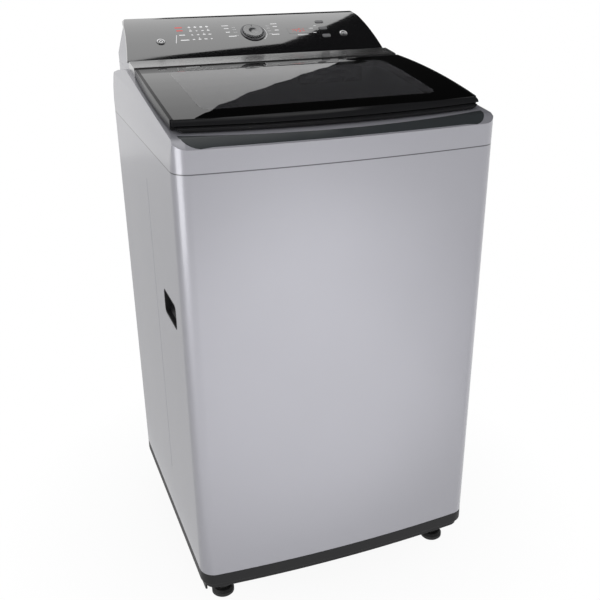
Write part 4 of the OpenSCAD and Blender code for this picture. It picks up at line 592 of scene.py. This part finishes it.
# Four columns of icons left of the dial, each over three short legends, some with a dot above
COLUMNS, ROWS = (-119, -107.5, -96, -85), (14, 1.5, -12)
ICON_V, ICON_WIDE, ICON_RADIUS = 27, 4.8, 2.6
LEGEND_WIDTHS, LEGEND_HIGH = (5.5, 3.2, 4.4, 5.0), 2.6
DOT_ABOVE, DOT_RADIUS = 3.6, 1.2
for column, u in enumerate(COLUMNS):
    if column:
        signs.bar(u, ICON_V, ICON_WIDE, ICON_WIDE, 45 if column % 2 else 0)
    else:
        signs.disc(u, ICON_V, ICON_RADIUS)
    for row, v in enumerate(ROWS):
        signs.bar(u, v, LEGEND_WIDTHS[(column + row) % len(LEGEND_WIDTHS)], LEGEND_HIGH)
        if (column + row) % len(ROWS) == 0:
            signs.disc(u, v + DOT_ABOVE, DOT_RADIUS)
# Two longer legends further left, and the thin slanted line beside them
signs.bar(-138, 2, 11, LEGEND_HIGH)
signs.bar(-136, -13, 16, LEGEND_HIGH)
signs.bar(-151.5, -9, 1.2, 24, turn=-14, steps=6)
# Four programs on each side of the dial, each with its pointer
for side in (-1, 1):
    for u, v, wide in ((49, 27, 13), (49, 17, 9), (49, 5, 8), (43, -8, 15)):
        signs.bar(side * u, v, wide, 2.4)
        signs.bar(side * 34, v * 0.75, 7, 0.7)
# Key legends on the right, and a part ring round the dial
for u, v, wide in ((98, -12, 22), (120, 6, 8), (124, -8, 6), (131, 14, 5)):
    signs.bar(u, v, wide, 1.5)
signs.arc(0, 0, 26.5, 0.7, -50, 60)
lay(signs, "console_signs", "control_panel", dial_middle, pale_ink_painted_glow)

# The two legends at the upper left are lit from behind
lit = Ink()
lit.bar(-139.5, 27.0, 14, 3.2)
lit.bar(-139.5, 16.5, 12, 3.0)
lay(lit, "lit_signs", "control_panel", dial_middle, ink_red)

# %% [markdown]
# The display shows two figures, each made of seven slanted bars as on any digital clock. A text
# object would need a typeface of that kind, so the bars are drawn. They go by their usual letters:
# a at the top, then clockwise to f, and g in the middle.

# %% Display
FIGURE_WIDE, HALF_SEGMENT, STROKE, JOIN, SLANT = 5.0, 2.25, 1.1, 0.9, 0.12
SEGMENTS = {"a": (0, 2), "b": (1, 1), "c": (1, -1), "d": (0, -2),
            "e": (-1, -1), "f": (-1, 1), "g": (0, 0)}
SHOWN = {"4": "fgbc", "5": "afgcd"}


def figure(ink, number, u):
    """One digit of seven segments, its middle at u."""
    for segment in SHOWN[number]:
        side, level = SEGMENTS[segment]
        x, y = side * FIGURE_WIDE / 2, level * HALF_SEGMENT
        if segment in "agd":
            ink.bar(u + x + y * SLANT, y, FIGURE_WIDE - JOIN, STROKE)
        else:
            ink.bar(u + x + y * SLANT, y, STROKE, 2 * HALF_SEGMENT - JOIN)


figures = Ink()
figure(figures, "4", -6)
figure(figures, "5", 3)
for v in (2.5, -2.5):
    figures.disc(-11.5, v, 0.8)
for v in (2.6, -2.6):
    figures.bar(11, v, 5, 1.0)
window_middle = middle(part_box("display_window"))
lay(figures, "display_figures", "display_window", window_middle, ink_red)

# %% [markdown]
# Power is the usual ring with a bar through its gap, start and pause a triangle and two bars. Both
# are ink too, each laid from the middle of its own button, so they move in with the press.

# %% Button signs
for node in ("power_button", "start_button"):
    mark = Ink()
    if node == "power_button":
        mark.arc(0, -0.3, 2.9, 1.3, 125, 415)
        mark.bar(0, 2.0, 1.3, 3.2)
    else:
        mark.disc(-1.7, 0, 2.3, sides=3, turn=-90)
        mark.bar(1.6, 0, 0.9, 3.8)
        mark.bar(3.2, 0, 0.9, 3.8)
    mark.arc(0, 0, 6.6, 1.7)
    lay(mark, node + "_sign", node, middle(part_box(node)), pale_ink_painted_glow)

# %% [markdown]
# ## Studio
#
# The machine stands in a white room. More lamps would whiten the room, but would wash the paint out
# too. The Light Path node tells one kind of ray from another, so the room is full white to the
# camera, to gloss and through glass, and a soft grey as a source of light.


# %% World
def ray_share(tree, kinds):
    """One for a ray of one of these kinds, nought for the rest."""
    path = tree.nodes.new("ShaderNodeLightPath")
    socket = path.outputs[kinds[0]]
    for kind in kinds[1:]:
        either = tree.nodes.new("ShaderNodeMath")
        either.operation = "MAXIMUM"
        tree.links.new(socket, either.inputs[0])
        tree.links.new(path.outputs[kind], either.inputs[1])
        socket = either.outputs[0]
    return socket


def choose(tree, share, plain, bright, output):
    """Feeds the output with the plain shader, and with the bright one by the share."""
    either = tree.nodes.new("ShaderNodeMixShader")
    for socket, fed in zip((share, plain, bright), either.inputs):
        tree.links.new(socket, fed)
    tree.links.new(either.outputs[0], output.inputs[0])


WHITE_TO = ("Is Camera Ray", "Is Glossy Ray", "Is Transmission Ray")
SKY, SKY_STRENGTH = (0.97, 0.98, 1.0, 1), 0.42
WHITE = (1, 1, 1, 1)

world = bpy.data.worlds.new("studio")
bpy.context.scene.world = world
world.use_nodes = True
room = world.node_tree
room.nodes.clear()
sky, white = room.nodes.new("ShaderNodeBackground"), room.nodes.new("ShaderNodeBackground")
sky.inputs["Color"].default_value, sky.inputs["Strength"].default_value = SKY, SKY_STRENGTH
white.inputs["Color"].default_value, white.inputs["Strength"].default_value = WHITE, 1.0
choose(room, ray_share(room, WHITE_TO), sky.outputs[0], white.outputs[0],
       room.nodes.new("ShaderNodeOutputWorld"))
print("white room, with a light of", SKY_STRENGTH)

# %% [markdown]
# The floor is pale, with the machine's shadow on it, and further out it has to end in the white of
# the room without a line. A curved backdrop would do that, but would show in the sides. So the
# floor glows: a little less beside the machine, where the shadow falls, and full white further out.

# %% Floor
# The glow is least beside the machine and grows to full white between these distances in metres
LEAST_GLOW, GLOW_FROM, GLOW_TO = 0.93, 0.25, 0.62

floor_shade = Shade("floor", Base_Color=(0.86, 0.86, 0.86), Roughness=0.8)
x, y = floor_shade.axes()[:2]
away = (x * x + y * y).math("SQRT")
glow = floor_shade.tree.nodes.new("ShaderNodeEmission")
glow.inputs["Color"].default_value = WHITE
share = (away.ramp(GLOW_FROM, GLOW_TO, LEAST_GLOW, 1.0)
         * Wire(floor_shade, ray_share(floor_shade.tree, WHITE_TO)))
choose(floor_shade.tree, share.socket, floor_shade.shader.outputs[0], glow.outputs[0],
       floor_shade.output)


def sheet(name, size, place, face, cuts, material):
    """A square sheet of the studio, size is half its side, cut at points with outward directions."""
    shape = bmesh.new()
    bmesh.ops.create_grid(shape, x_segments=1, y_segments=1, size=size)
    bmesh.ops.transform(shape, matrix=Matrix.Translation(place) @ face, verts=shape.verts)
    for point, outward in cuts:
        bmesh.ops.bisect_plane(
            shape, geom=shape.verts[:] + shape.edges[:] + shape.faces[:],
            plane_co=point, plane_no=outward, clear_outer=True)
    mesh = bpy.data.meshes.new(name)
    shape.to_mesh(mesh)
    shape.free()
    mesh.materials.append(material)
    made = bpy.data.objects.new(name, mesh)
    bpy.context.scene.collection.objects.link(made)
    return made


LYING, UPRIGHT = Matrix(), Matrix.Rotation(math.pi / 2, 4, "X")
sheet("floor", 6, (0, 0, 0), LYING, [], floor_shade.material)
print("the floor is full white from", GLOW_TO, "m on")

# %% [markdown]
# A mirror as flat as the lid shows whatever stands behind it. As in a product studio, black flags
# keep part of the white room out of the glass and the fascia, cut so that their edge crosses the lid
# at a slant, and grey cards on the floor calm what the sides mirror. They are seen in gloss only:
# they cast no shadow and darken no paint.


# %% Flags and cards
def matt(name, glow):
    """A dull sheet that shows one even tone in a mirror."""
    return Shade(name, Base_Color=(0, 0, 0), Roughness=1.0, Specular_IOR_Level=0.0,
                 Emission_Color=(1, 1, 1), Emission_Strength=glow).material


black, grey = matt("flag_black", 0.012), matt("card_grey", 0.7)
# Where the slanted cuts of the flag behind meet, and where those of the two flags above meet
BEHIND, ABOVE_LID = (1.83, 6, 3.83), (0.63, 0.48, 2.6)
screens = [
    sheet("card_left", 1.7, (-1.99, 1.35, 0.015), LYING, [], grey),
    sheet("card_right", 0.7, (1.35, -1.15, 0.015), LYING, [], grey),
    sheet("flag_behind", 6, (6.0, 6.0, 4.0), UPRIGHT, [
        (BEHIND, (-1.75, 0, -1)), (BEHIND, (-1.40, 0, -1)), ((0, 6, 4.95), (0, 0, 1))], black),
    sheet("flag_above_right", 5, (3.0, 0.0, 2.6), LYING, [(ABOVE_LID, (-2.03, 0.82, 0))], black),
    sheet("flag_above_front", 5, (0.0, -4.0, 2.6), LYING, [(ABOVE_LID, (-0.28, 0.58, 0))], black),
]
for screen in screens:
    screen.visible_camera = screen.visible_diffuse = screen.visible_shadow = False
    screen.visible_transmission = screen.visible_volume_scatter = False
print("flags and cards", len(screens))

# %% [markdown]
# Small lamps make hard shadows and hot points, so the paint is lit by a large soft lamp in front
# and a weak one on the right. A third is seen in gloss only and draws the bright line down the
# rounded corner. It stands low, so that the lid misses it. A spot with a fully soft rim lays a pool
# of light on the middle of the front.


# %% Lamps
def aimed(light, place, target):
    """Hangs a light at its place and turns it to its target."""
    made = bpy.data.objects.new(light.name, light)
    made.location = place
    made.rotation_euler = (Vector(target) - Vector(place)).to_track_quat("-Z", "Y").to_euler()
    bpy.context.scene.collection.objects.link(made)
    return made


def lamp(name, place, target, size, power):
    """A flat rectangular lamp, its size in metres and its power in watts."""
    light = bpy.data.lights.new(name, "AREA")
    light.shape, light.size, light.size_y, light.energy = "RECTANGLE", *size, power
    return aimed(light, place, target)


# The two soft lamps aim at the middle of the machine
HEART = (0, 0, 0.5)
lamp("key", (-0.7, -3.0, 1.7), HEART, (1.6, 2.2), 28).visible_glossy = False
lamp("fill", (2.6, -1.2, 1.4), HEART, (1.4, 2.0), 3).visible_glossy = False
line = lamp("corner line", (-2.0, -0.85, 0.32), (-0.25, -0.25, 0.32), (1.3, 0.62), 9)
line.visible_diffuse = False

pool = bpy.data.lights.new("pool", "SPOT")
pool.energy, pool.spot_size, pool.spot_blend = 150, math.radians(17.5), 1.0
pool.shadow_soft_size = 0.1
aimed(pool, (0.35, -3.0, 0.9), (-0.04, -0.28, 0.47))
print("lamps", len(bpy.data.lights))
